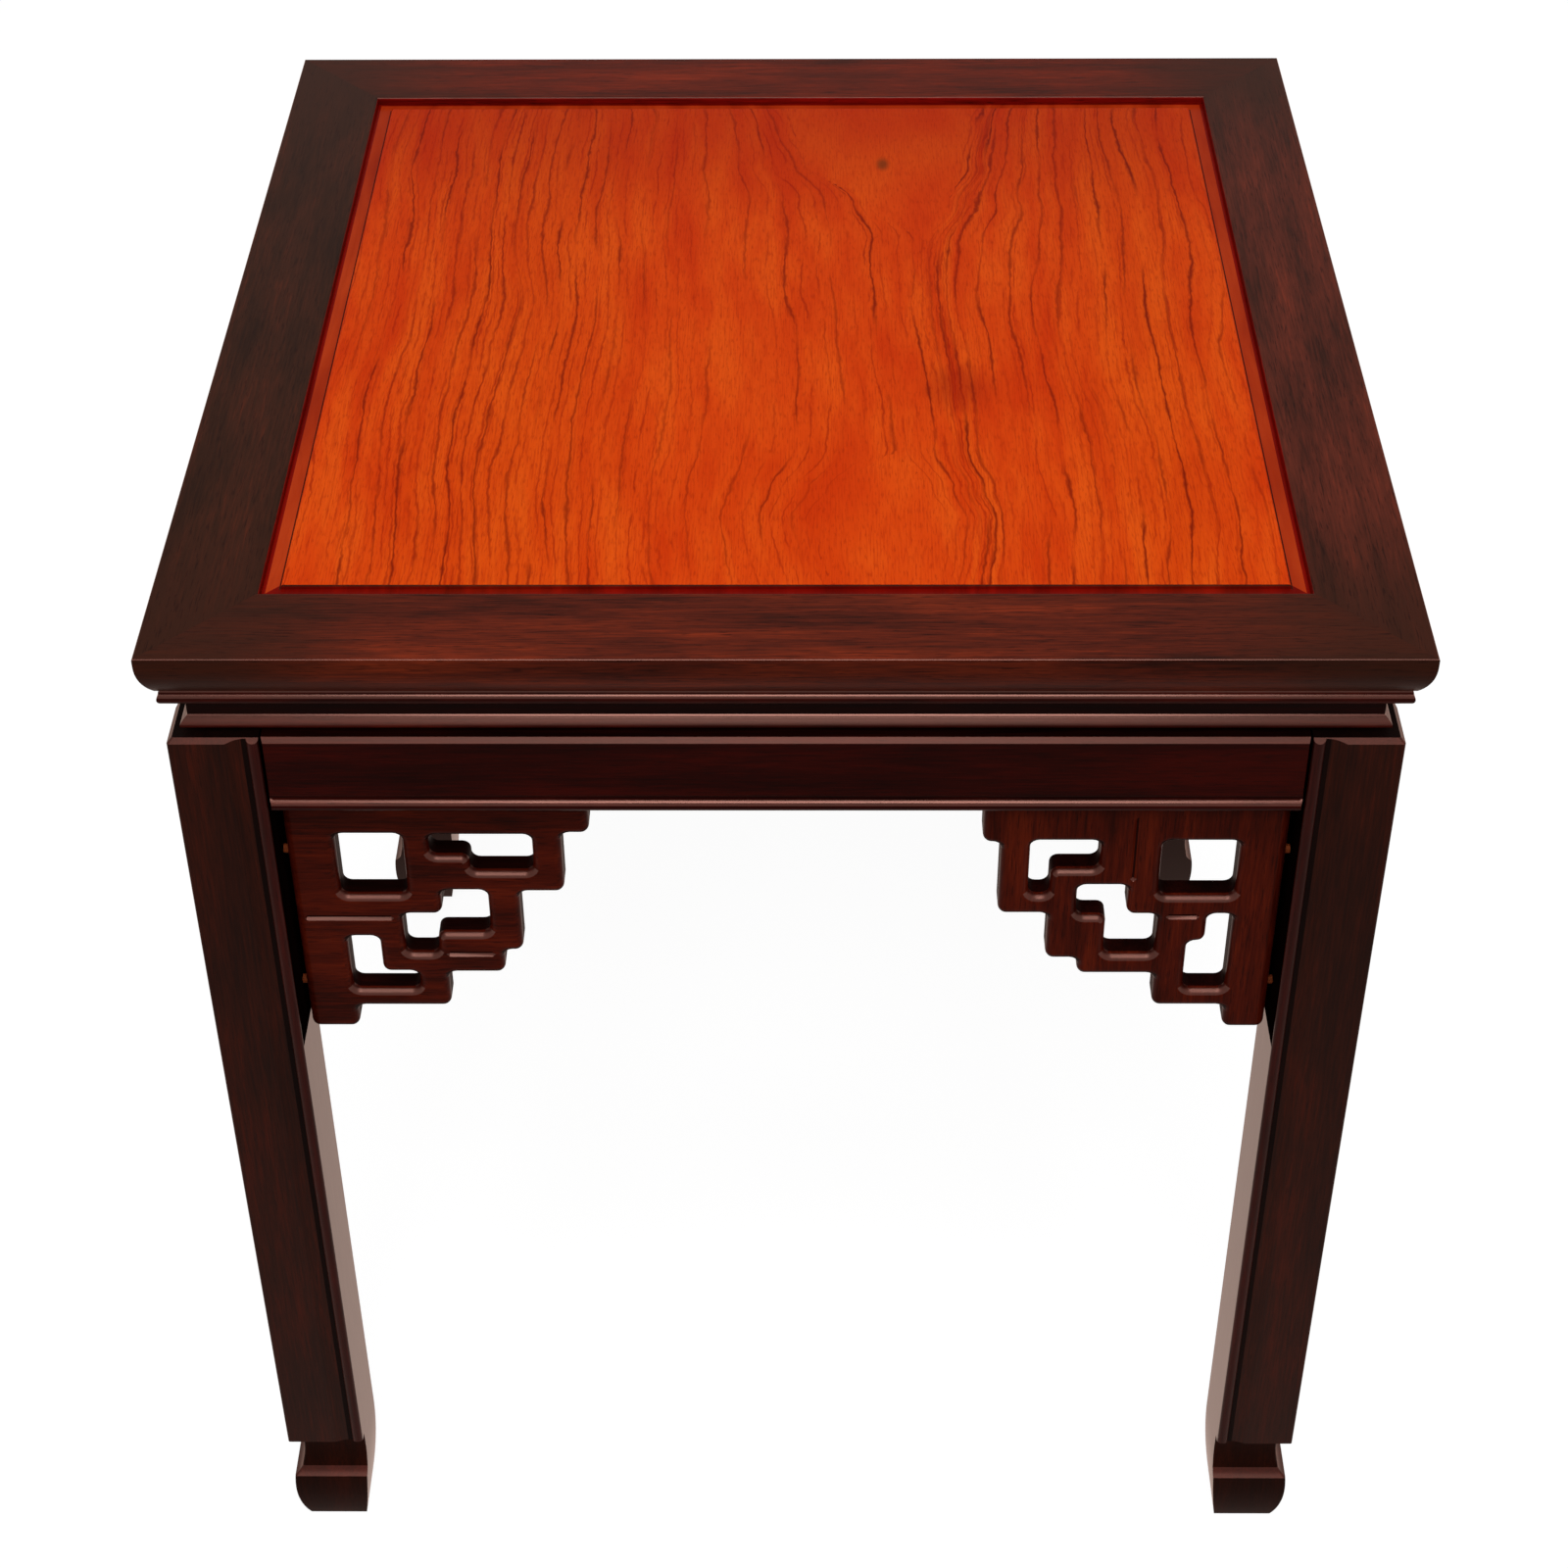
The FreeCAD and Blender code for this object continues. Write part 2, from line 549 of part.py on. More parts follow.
def leg(name, turn, across_sign, deep_sign):
    """A leg, drawn with its outer corner at the origin and its outer faces to +X and +Y."""
    place = (
        f"{across_sign} * (top_width / 2 - leg_setback)",
        f"{deep_sign} * (top_depth / 2 - leg_setback)",
        "0",
    )
    body = new_body(name, turn, place)
    cove_start, bead_start, cove, bead = face_moulding()
    hoof = rectangle("-leg_size", "0", "-leg_size", "0")
    pad(body, "XY_Plane", [hoof], "hoof_height")
    section = [
        ("-leg_size", "-leg_size"),
        ("-cove_depth", "-leg_size", (CONVEX, bead)),
        ("-cove_depth", f"-{bead_start}", (HOLLOW, cove)),
        ("0", f"-{cove_start}"),
        ("0", "-leg_arris", (CONVEX, "leg_arris")),
        ("-leg_arris", "0"),
        (f"-{cove_start}", "0", (HOLLOW, cove)),
        (f"-{bead_start}", "-cove_depth", (CONVEX, bead)),
        ("-leg_size", "-cove_depth"),
    ]
    pad(body, "XY_Plane", [section], f"{BASE_TOP} - hoof_height", "hoof_height")
    ledge_back = "(ridge_inset + ledge_depth)"
    ledge_top = "(ridge_height + ledge_height)"
    outer_curve = [
        ("cut_overrun", "-cut_overrun"),
        ("cut_overrun", "hoof_height"),
        ("-hoof_step", "hoof_height", (CONVEX, rise_radius(
            f"hoof_step - {ledge_back}", f"hoof_height - {ledge_top}", "neck_hollow"))),
        (f"-{ledge_back}", ledge_top),
        ("-ridge_inset", "ridge_height", (HOLLOW, rise_radius(
            "sole_inset - ridge_inset", "ridge_height", "hoof_swell"))),
        ("-sole_inset", "0"),
        ("-sole_inset", "-cut_overrun"),
    ]
    inner_curve = [
        ("-leg_size - cut_overrun", "-cut_overrun"),
        ("-leg_size + sole_taper", "-cut_overrun"),
        ("-leg_size + sole_taper", "0", (HOLLOW, tangent_radius("sole_taper", "taper_height"))),
        ("-leg_size", "taper_height"),
        ("-leg_size - cut_overrun", "taper_height"),
    ]
    for plane_role in ("XZ_Plane", "YZ_Plane"):
        cut_loops(body, plane_role, [outer_curve, inner_curve])
    bevel = [
        ("cut_overrun", f"{BASE_TOP} - leg_chamfer - cut_overrun"),
        ("cut_overrun", f"{BASE_TOP} + cut_overrun"),
        ("-leg_chamfer - cut_overrun", f"{BASE_TOP} + cut_overrun"),
    ]
    for plane_role in ("XZ_Plane", "YZ_Plane"):
        cut_loops(body, plane_role, [bevel])
    post = rectangle("-leg_size", f"-{POST_OUT}", "-leg_size", f"-{POST_OUT}")
    pad(body, "XY_Plane", [post], f"{RAIL_BOTTOM} - {BASE_TOP}", BASE_TOP)
    tenons = [
        rectangle(f"-{TENON_BACK}", f"-{TENON_FRONT}", f"-{TENON_FAR}", f"-{TENON_NEAR}"),
        rectangle(f"-{TENON_FAR}", f"-{TENON_NEAR}", f"-{TENON_BACK}", f"-{TENON_FRONT}"),
    ]
    pad(body, "XY_Plane", tenons, "leg_tenon_length", RAIL_BOTTOM)
    mortise_ends = ("-leg_size - cut_overrun", "-leg_size + apron_tenon_length + joint_clearance")
    mortise_walls = (
        f"-({APRON_TENON_FAR} + joint_clearance)",
        f"-({APRON_TENON_NEAR} - joint_clearance)",
    )
    mortise_height = "apron_tenon_height + 2 * joint_clearance"
    mortise_bottom = f"{APRON_TENON_BOTTOM} - joint_clearance"
    for sides in (mortise_ends + mortise_walls, mortise_walls + mortise_ends):
        cut_loops(body, "XY_Plane", [rectangle(*sides)], mortise_height, mortise_bottom, forward=True)
    inner_faces = (("YZ_Plane", "-leg_size", True), ("XZ_Plane", "leg_size", False))
    for plane_role, lift, forward in inner_faces:
        sketch = new_sketch(body, plane_role, lift)
        for share in LEG_PEG_DROP_SHARES:
            draw_hole(sketch, f"-{PEG_LINE}", f"{APRON_BOTTOM} - {share} * bracket_drop", PEG_HOLE)
        cut(body, sketch, "peg_depth", forward)


# Carved outlines of the two brackets, as shares of a bracket's length from the leg
# and of its drop below the apron: the stepped edge first, then the openings
LEFT_FRET_SHARES = (
    ((0, 0), (1, 0), (1, 0.170), (0.906, 0.170), (0.906, 0.412), (0.754, 0.412), (0.754, 0.663),
     (0.687, 0.663), (0.687, 0.759), (0.491, 0.759), (0.491, 0.907), (0.166, 0.907), (0.166, 1), (0, 1)),
    ((0.159, 0.174), (0.381, 0.174), (0.381, 0.427), (0.159, 0.427)),
    ((0.467, 0.178), (0.808, 0.178), (0.808, 0.329), (0.597, 0.329), (0.597, 0.264), (0.467, 0.264)),
    ((0.491, 0.408), (0.647, 0.408), (0.647, 0.589), (0.467, 0.589),
     (0.467, 0.678), (0.354, 0.678), (0.354, 0.507), (0.491, 0.507)),
    ((0.159, 0.604), (0.268, 0.604), (0.268, 0.756), (0.389, 0.756), (0.389, 0.836), (0.159, 0.836)),
)
RIGHT_FRET_SHARES = (
    ((0, 0), (1, 0), (1, 0.207), (0.939, 0.207), (0.939, 0.503), (0.770, 0.503), (0.770, 0.696),
     (0.660, 0.696), (0.660, 0.763), (0.394, 0.763), (0.394, 0.903), (0.144, 0.903), (0.144, 1), (0, 1)),
    ((0.152, 0.201), (0.406, 0.201), (0.406, 0.430), (0.152, 0.430)),
    ((0.610, 0.201), (0.841, 0.201), (0.841, 0.427), (0.770, 0.427), (0.770, 0.319), (0.610, 0.319)),
    ((0.508, 0.385), (0.676, 0.385), (0.676, 0.514), (0.574, 0.514),
     (0.574, 0.681), (0.402, 0.681), (0.402, 0.507), (0.508, 0.507)),
    ((0.148, 0.507), (0.234, 0.507), (0.234, 0.622), (0.293, 0.622), (0.293, 0.833), (0.148, 0.833)),
)


def turned(side, across, out):
    """Place on the table of a spot given along and out from one side."""
    spots = {
        0: (across, out),
        90: (f"-({out})", across),
        180: (f"-({across})", f"-({out})"),
        270: (out, f"-({across})"),
    }
    return spots[SIDES[side][0]]


def bracket_corner(side, hand):
    """Leg-side top front corner of a bracket, along and out from its side."""
    _, along, out = SIDES[side]
    across = f"({along} - leg_setback - leg_size - bracket_gap)"
    face = f"({out} - leg_setback - apron_setback - bracket_setback)"
    return f"({hand} * {across})", face


def bracket(side, end, fret_shares):
    """A pierced bracket: stepped outline, openings, rounded corners and peg holes."""
    hand = HANDS[end]
    across, face = bracket_corner(side, hand)
    place = turned(side, across, face) + (APRON_BOTTOM,)
    body = new_body(f"bracket_{side}_{end}", SIDES[side][0], place)
    loops = []
    for shares in fret_shares:
        loops.append([(f"{-hand * far} * bracket_length", f"-{down} * bracket_drop") for far, down in shares])
    board = pad(body, "XZ_Plane", loops, "bracket_thickness")
    doc.recompute()
    corners = []
    for number, edge in enumerate(board.Shape.Edges, start=1):
        run = edge.Vertexes[1].Point - edge.Vertexes[0].Point
        below_top = edge.Vertexes[0].Z < -worked_out("bracket_round")
        if below_top and math.isclose(abs(run.y), run.Length):
            corners.append(f"Edge{number}")
    rounding = body.newObject("PartDesign::Fillet", f"{body.Label}_round")
    rounding.Base = (board, corners)
    rounding.setExpression("Radius", cells("bracket_round"))
    leg_holes = new_sketch(body, "YZ_Plane")
    for share in LEG_PEG_DROP_SHARES:
        draw_hole(leg_holes, "-bracket_thickness / 2", f"-{share} * bracket_drop", PEG_HOLE)
    cut(body, leg_holes, "peg_depth", forward=(hand == -1))
    apron_holes = new_sketch(body, "XY_Plane")
    for share in APRON_PEG_PLACE_SHARES:
        draw_hole(apron_holes, f"{-hand * share} * bracket_length", "-bracket_thickness / 2", PEG_HOLE)
    cut(body, apron_holes, "peg_depth")


def peg(name, length, axis, place):
    """One round peg, lying along an axis."""
    rod = doc.addObject("Part::Cylinder", name)
    rod.Placement = FreeCAD.Placement(FreeCAD.Vector(), FreeCAD.Rotation(UP, axis))
    rod.setExpression("Radius", cells("peg_diameter / 2"))
    rod.setExpression("Height", cells(length))
    for letter, text in zip("xyz", place):
        rod.setExpression(f"Placement.Base.{letter}", cells(text))
    return rod


def peg_group(name, pegs):
    """All pegs of one kind as a group of separate solids."""
    group = doc.addObject("Part::Compound", name)
    group.Label = name
    group.Links = pegs
    nodes.append(group)


def bracket_leg_pegs():
    """Pegs across the gap between each bracket and its leg."""
    pegs = []
    for side in SIDES:
        for end, hand in HANDS.items():
            across, face = bracket_corner(side, hand)
            inside = f"({across} - {hand} * peg_depth)"
            line = f"({face} - bracket_thickness / 2)"
            axis = FreeCAD.Rotation(UP, SIDES[side][0]).multVec(FreeCAD.Vector(hand, 0, 0))
            for share in LEG_PEG_DROP_SHARES:
                place = turned(side, inside, line) + (f"{APRON_BOTTOM} - {share} * bracket_drop",)
                pegs.append(peg(f"leg_peg_{side}_{end}", "bracket_gap + 2 * peg_depth", axis, place))
    peg_group("bracket_leg_pegs", pegs)


def bracket_apron_pegs():
    """Pegs that stand between each bracket and the apron above it."""
    pegs = []
    for side in SIDES:
        for end, hand in HANDS.items():
            across, face = bracket_corner(side, hand)
            line = f"({face} - bracket_thickness / 2)"
            for share in APRON_PEG_PLACE_SHARES:
                spot = f"({across} - {hand} * {share} * bracket_length)"
                place = turned(side, spot, line) + (f"{APRON_BOTTOM} - peg_depth",)
                pegs.append(peg(f"apron_peg_{side}_{end}", "2 * peg_depth", UP, place))
    peg_group("bracket_apron_pegs", pegs)


# The table, from the top down
for side in SIDES:
    top_rail(side)
centre_panel()
for name, hand in (("panel_batten_front", -1), ("panel_batten_back", 1)):
    panel_batten(name, hand)
for make_piece in (bead_strip, waist_board, waist_moulding, apron):
    for side in SIDES:
        make_piece(side)
LEG_CORNERS = {
    "leg_back_right": (0, 1, 1),
    "leg_back_left": (90, -1, 1),
    "leg_front_left": (180, -1, -1),
    "leg_front_right": (270, 1, -1),
}
for name, (turn, across_sign, deep_sign) in LEG_CORNERS.items():
    leg(name, turn, across_sign, deep_sign)
for side in SIDES:
    bracket(side, "left", LEFT_FRET_SHARES)
    bracket(side, "right", RIGHT_FRET_SHARES)
bracket_leg_pegs()
bracket_apron_pegs()
doc.recompute()

# Every object has to be sound, and every cut has to take wood away, before files are written
for item in doc.Objects:
    if "Invalid" in item.State or "Error" in item.State:
        raise RuntimeError(f"{item.Label} failed: {item.State}")
for node in nodes:
    if node.Shape.isNull() or not node.Shape.isValid():
        raise RuntimeError(f"{node.Label} has no sound shape")
    for feature in getattr(node, "Group", []):
        base = getattr(feature, "BaseFeature", None)
        if feature.isDerivedFrom("PartDesign::Pocket") and feature.Shape.Volume >= base.Shape.Volume:
            raise RuntimeError(f"{feature.Label} cuts nothing")
        if base and feature.isDerivedFrom("PartDesign::Pad") and feature.Shape.Volume <= base.Shape.Volume:
            raise RuntimeError(f"{feature.Label} adds nothing")

os.makedirs("parts", exist_ok=True)
for node in nodes:
    node.Shape.exportStep(f"parts/{node.Label}.step")
print(f"{len(nodes)} pieces written")
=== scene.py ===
import math

import bmesh
import bpy
from mathutils import Matrix, Vector
from mathutils.geometry import delaunay_2d_cdt


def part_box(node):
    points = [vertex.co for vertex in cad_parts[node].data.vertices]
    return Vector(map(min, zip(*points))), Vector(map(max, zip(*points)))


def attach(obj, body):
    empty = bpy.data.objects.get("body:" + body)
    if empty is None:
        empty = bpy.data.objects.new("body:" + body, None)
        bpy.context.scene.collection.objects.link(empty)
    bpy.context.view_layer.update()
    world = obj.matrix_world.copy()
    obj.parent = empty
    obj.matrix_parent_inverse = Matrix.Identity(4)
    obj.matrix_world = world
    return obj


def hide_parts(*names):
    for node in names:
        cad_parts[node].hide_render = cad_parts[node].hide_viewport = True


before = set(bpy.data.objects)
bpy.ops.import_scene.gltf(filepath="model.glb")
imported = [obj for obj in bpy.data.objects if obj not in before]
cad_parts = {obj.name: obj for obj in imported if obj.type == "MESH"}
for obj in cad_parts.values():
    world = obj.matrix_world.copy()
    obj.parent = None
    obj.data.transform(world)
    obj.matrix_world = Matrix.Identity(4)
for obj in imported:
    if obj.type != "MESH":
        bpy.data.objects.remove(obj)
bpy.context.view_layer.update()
scene = bpy.context.scene
scene.view_settings.view_transform = "Standard"

# Viewpoint: someone standing in front of the table and looking down on its top.
# The place and the tilt come from fitting the table's corners and feet to the picture,
# which is taken to be 1600 pixels square.
SENSOR_MM = 36
PICTURE_PIXELS = 1600
FOCAL_PIXELS = 3018
LENS_AXIS_ROW_PIXELS = 680
EYE = (0.0090, -1.1553, 1.2685)
LOOK_DOWN_DEGREES = 38.336
LOOK_ASIDE_DEGREES = -0.584
ROLL_DEGREES = -0.368

lens = bpy.data.cameras.new("viewpoint")
lens.sensor_width = SENSOR_MM
lens.lens = lens.sensor_width * FOCAL_PIXELS / PICTURE_PIXELS
lens.shift_y = (LENS_AXIS_ROW_PIXELS - PICTURE_PIXELS / 2) / PICTURE_PIXELS
viewpoint = bpy.data.objects.new("viewpoint", lens)
turn_aside = Matrix.Rotation(math.radians(-LOOK_ASIDE_DEGREES), 4, "Z")
tilt = Matrix.Rotation(math.radians(90 - LOOK_DOWN_DEGREES), 4, "X")
roll = Matrix.Rotation(math.radians(ROLL_DEGREES), 4, "Z")
viewpoint.matrix_world = Matrix.Translation(EYE) @ turn_aside @ tilt @ roll
scene.collection.objects.link(viewpoint)
scene.camera = viewpoint

# Studio: a floor of matt white card under a large soft box overhead, with a smaller box in
# front that the bevels and beads mirror, and a weak one behind. The card is lifted to white
# for the eye and keeps the shadow.
FLOOR_HALF = 9.0
FLOOR_LIFT_TO_WHITE = 0.91
CARD_COLOUR = "#808080"
SKY_COLOUR = "#ffffff"
SKY_LEVEL = 0.2
BACKDROP_LEVEL = 1.0
# Each box: its place, its width and depth in metres, and its watts
SOFT_BOXES = {
    "overhead_soft_box": ((0.0, -0.75, 2.3), (1.5, 0.9), 22.0),
    "front_soft_box": ((0.0, -1.66, 1.91), (0.9, 0.7), 18.0),
    "back_soft_box": ((0.2, 1.3, 3.0), (1.6, 1.0), 8.0),
}
TABLE_MIDDLE = Vector((0.0, 0.0, 0.35))


def srgb(hex_colour):
    """A written #rrggbb colour as the linear colour that the shaders use."""
    channels = [int(hex_colour[place:place + 2], 16) / 255 for place in (1, 3, 5)]
    linear = [c / 12.92 if c <= 0.04045 else ((c + 0.055) / 1.055) ** 2.4 for c in channels]
    return (*linear, 1.0)


def add_node(tree, kind, inputs=None, stops=None, **settings):
    """Add a shader node: its settings, its colour stops, and its inputs set or linked."""
    made = tree.nodes.new(kind)
    for setting, value in settings.items():
        setattr(made, setting, value)
    for place, (position, hex_colour) in enumerate(stops or ()):
        stop = made.color_ramp.elements[0] if place == 0 else made.color_ramp.elements.new(position)
        stop.position = position
        stop.color = srgb(hex_colour)
    if stops:
        made.color_ramp.elements.remove(made.color_ramp.elements[-1])
    for socket, value in (inputs or {}).items():
        if isinstance(value, bpy.types.NodeSocket):
            tree.links.new(value, made.inputs[socket])
        else:
            made.inputs[socket].default_value = value
    return made


def reckon(tree, operation, *values):
    """The outcome of a sum on numbers or on the outputs of other nodes."""
    return add_node(tree, "ShaderNodeMath", dict(enumerate(values)), operation=operation).outputs[0]


def seen_directly(tree):
    """1 where the eye, a reflection or a clear body looks straight at a surface."""
    path = add_node(tree, "ShaderNodeLightPath").outputs
    direct = reckon(tree, "MAXIMUM", path["Is Camera Ray"], path["Is Glossy Ray"])
    return reckon(tree, "MAXIMUM", direct, path["Is Transmission Ray"])


def new_finish(name):
    """A material that has no nodes yet, and its tree."""
    finish = bpy.data.materials.new(name)
    finish.use_nodes = True
    finish.node_tree.nodes.clear()
    return finish, finish.node_tree


sky = bpy.data.worlds.new("studio")
sky.use_nodes = True
sky_tree = sky.node_tree
sky_tree.nodes.clear()
sky_colour = srgb(SKY_COLOUR)
lighting = add_node(sky_tree, "ShaderNodeBackground", {"Color": sky_colour, "Strength": SKY_LEVEL})
backdrop = add_node(sky_tree, "ShaderNodeBackground", {"Color": sky_colour, "Strength": BACKDROP_LEVEL})
surround = add_node(sky_tree, "ShaderNodeMixShader", {
    0: seen_directly(sky_tree), 1: lighting.outputs[0], 2: backdrop.outputs[0]})
add_node(sky_tree, "ShaderNodeOutputWorld", {"Surface": surround.outputs[0]})
scene.world = sky

white_card, card_tree = new_finish("matt_white_card")
card = add_node(card_tree, "ShaderNodeBsdfDiffuse", {"Color": srgb(CARD_COLOUR)})
lift_strength = reckon(card_tree, "MULTIPLY", seen_directly(card_tree), FLOOR_LIFT_TO_WHITE)
lift = add_node(card_tree, "ShaderNodeEmission", {"Strength": lift_strength})
lifted_card = add_node(card_tree, "ShaderNodeAddShader", {0: card.outputs[0], 1: lift.outputs[0]})
add_node(card_tree, "ShaderNodeOutputMaterial", {"Surface": lifted_card.outputs[0]})

floor_mesh = bpy.data.meshes.new("floor")
floor_corners = [(FLOOR_HALF * x, FLOOR_HALF * y, 0) for x, y in ((-1, -1), (1, -1), (1, 1), (-1, 1))]
floor_mesh.from_pydata(floor_corners, [], [(0, 1, 2, 3)])
floor_mesh.materials.append(white_card)
floor = bpy.data.objects.new("floor", floor_mesh)
scene.collection.objects.link(floor)

for name, (place, (width, depth), watts) in SOFT_BOXES.items():
    soft_box = bpy.data.lights.new(name, "AREA")
    soft_box.shape = "RECTANGLE"
    soft_box.size = width
    soft_box.size_y = depth
    soft_box.energy = watts
    stand = bpy.data.objects.new(name, soft_box)
    stand.location = place
    stand.rotation_euler = (TABLE_MIDDLE - stand.location).to_track_quat("-Z", "Y").to_euler()
    scene.collection.objects.link(stand)

# Frame of the top: four rails of dark rosewood, mitred at the corners and grooved inside
# for the panel. The outer edge is moulded to a long quarter round that rolls under.
MM = 0.001
EDGE_FLAT = 4 * MM
EDGE_ROLL = 5.5 * MM
RAIL_ARRIS = 0.6 * MM
OPENING_ARRIS = 1.3 * MM
GROOVE_DEPTH = 7 * MM
GROOVE_TOP = 3.6 * MM
GROOVE_HEIGHT = 5.7 * MM
HIDDEN_ARRIS = 0.3 * MM
SIDE_TURNS = {"back": 0, "left": 90, "front": 180, "right": 270}
ARC_RUNS = 10
ARRIS_RUNS = 4
WELD_DISTANCE = 0.002 * MM
SHARP_DEGREES = 40
# How far up a face looks, from 1 on a level flat, down through steep slopes to the least edge
FLAT_RISE = 0.97
STEEP_RISE = 0.6
EDGE_RISE = 0.2


def side_spot(side, across, out, up):
    """Place of a spot given along one side of the table, out from its middle, and up."""
    return Matrix.Rotation(math.radians(SIDE_TURNS[side]), 3, "Z") @ Vector((across, out, up))


def bow(start, end, rise, runs=ARC_RUNS):
    """Points of an arc from start to end that stands off its chord by rise, to the right."""
    start, end = Vector(start), Vector(end)
    chord = end - start
    half = chord.length / 2
    radius = (half ** 2 + rise ** 2) / (2 * abs(rise))
    hand = math.copysign(1, rise)
    right = Vector((chord.y, -chord.x)).normalized() * hand
    centre = (start + end) / 2 + right * (abs(rise) - radius)
    swing = 2 * math.asin(min(1.0, half / radius))
    points = []
    for run in range(runs + 1):
        turn = Matrix.Rotation(hand * swing * run / runs, 2)
        points.append((*(centre + turn @ (start - centre)), 0.0))
    return points


def softened(outline):
    """A closed outline of (across, up, arris radius) points with each arris rounded off."""
    points = []
    for place, (across, up, radius) in enumerate(outline):
        corner = Vector((across, up))
        if radius == 0:
            points.append(corner)
            continue
        before = Vector(outline[place - 1][:2]) - corner
        after = Vector(outline[(place + 1) % len(outline)][:2]) - corner
        half_angle = before.angle(after) / 2
        reach = radius / math.tan(half_angle)
        start = corner + before.normalized() * reach
        end = corner + after.normalized() * reach
        inward = (before.normalized() + after.normalized()).normalized()
        centre = corner + inward * radius / math.sin(half_angle)
        swing = (start - centre).angle_signed(end - centre)
        for run in range(ARRIS_RUNS + 1):
            turn = Matrix.Rotation(-swing * run / ARRIS_RUNS, 2)
            points.append(centre + turn @ (start - centre))
    return points


def worked(face):
    """The finish of a face planed or carved to an upward slant, an edge or a bead, or of a flat."""
    return "edge" if EDGE_RISE < face.normal.z < FLAT_RISE else "flat"


def dressed_piece(name, points, faces, finishes, node, mark=worked):
    """Make one wooden piece from its points and faces, in place of its plain solid. The mark
    names the one of the finishes that a face has."""
    mesh = bpy.data.meshes.new(name)
    mesh.from_pydata(points, [], faces)
    shaping = bmesh.new()
    shaping.from_mesh(mesh)
    bmesh.ops.remove_doubles(shaping, verts=shaping.verts, dist=WELD_DISTANCE)
    bmesh.ops.recalc_face_normals(shaping, faces=shaping.faces)
    shaping.normal_update()
    finish_names = list(finishes)
    for face in shaping.faces:
        face.material_index = finish_names.index(mark(face))
    shaping.to_mesh(mesh)
    shaping.free()
    mesh.shade_smooth()
    mesh.set_sharp_from_angle(angle=math.radians(SHARP_DEGREES))
    for finish in finishes.values():
        mesh.materials.append(finish)
    made = bpy.data.objects.new(name, mesh)
    scene.collection.objects.link(made)
    evened = made.modifiers.new("even_faces", "WEIGHTED_NORMAL")
    evened.keep_sharp = True
    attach(made, "root")
    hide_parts(node)
    return made


def ring_walls(first, count, rings):
    """Faces between rings of count points that follow each other, from the point numbered first."""
    faces = []
    for near in range(first, first + (rings - 1) * count, count):
        for spot in range(count):
            following = (spot + 1) % count
            faces.append((near + spot, near + following, near + count + following, near + count + spot))
    return faces


def strip(outline, reach_at_end, side):
    """Points and faces of a closed outline run along one side, with an end for each point."""
    count = len(outline)
    points = []
    for end in (-1, 1):
        for out, up in outline:
            points.append(side_spot(side, end * reach_at_end(out), out, up))
    faces = ring_walls(0, count, 2)
    faces.append(tuple(reversed(range(count))))
    faces.append(tuple(range(count, 2 * count)))
    return points, faces


def side_reach(node, side):
    """How far a node reaches along its side and out from the table's middle, and its heights."""
    low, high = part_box(node)
    if side in ("front", "back"):
        return high.x, max(high.y, -low.y), min(abs(high.y), abs(low.y)), low.z, high.z
    return high.y, max(high.x, -low.x), min(abs(high.x), abs(low.x)), low.z, high.z


# Figure of the dark wood: size across and along the grain in mm, and detail
FIBRES = (1.1, 22, 3)
BANDS = (13, 300, 2)
PATCHES = (20, 90, 3)
PORES = (0.6, 9, 1)
FIGURE_ROUGHNESS = 0.6
FIGURE_SPAN = (1.1, 1.95)
PORE_SPAN = (0.58, 0.72)
PORE_FILL = "#140504"
PORE_MOST = 0.6
DARK_END_SPAN = (140 * MM, 235 * MM)
DARK_END_MOST = 0.85
SATIN_SPREAD = 0.04
FIBRE_RELIEF = 0.04
FIBRE_HEIGHT = 0.2 * MM
WOOD_IOR = 1.5
SHEEN_TINT = "#ffc6bb"
LACQUER_IOR = 1.06
LACQUER_TINT = "#ffebe0"


def ranged(tree, value, span=(0.0, 1.0), start=0.0, end=1.0, smooth=False):
    """What runs from start to end as a value goes through a span."""
    return add_node(tree, "ShaderNodeMapRange", {
        "Value": value, "From Min": span[0], "From Max": span[1], "To Min": start, "To Max": end},
        interpolation_type="SMOOTHSTEP" if smooth else "LINEAR").outputs[0]


def grain_noise(tree, place, sizes_mm, detail, roughness=0.5, dimensions="3D"):
    """Noise with blotches of the given sizes in mm along the axes."""
    scale = [1 / (size * MM) for size in sizes_mm]
    spread = add_node(tree, "ShaderNodeVectorMath", {0: place, 1: scale}, operation="MULTIPLY")
    return add_node(tree, "ShaderNodeTexNoise", {
        "Vector": spread.outputs[0], "Scale": 1.0, "Detail": detail, "Roughness": roughness},
        noise_dimensions=dimensions).outputs[0]


def laid_over(tree, amount, colour, hex_colour):
    """A colour with an amount of a written colour laid over it."""
    return add_node(tree, "ShaderNodeMix", {
        0: amount, 6: colour, 7: srgb(hex_colour)}, data_type="RGBA").outputs[2]


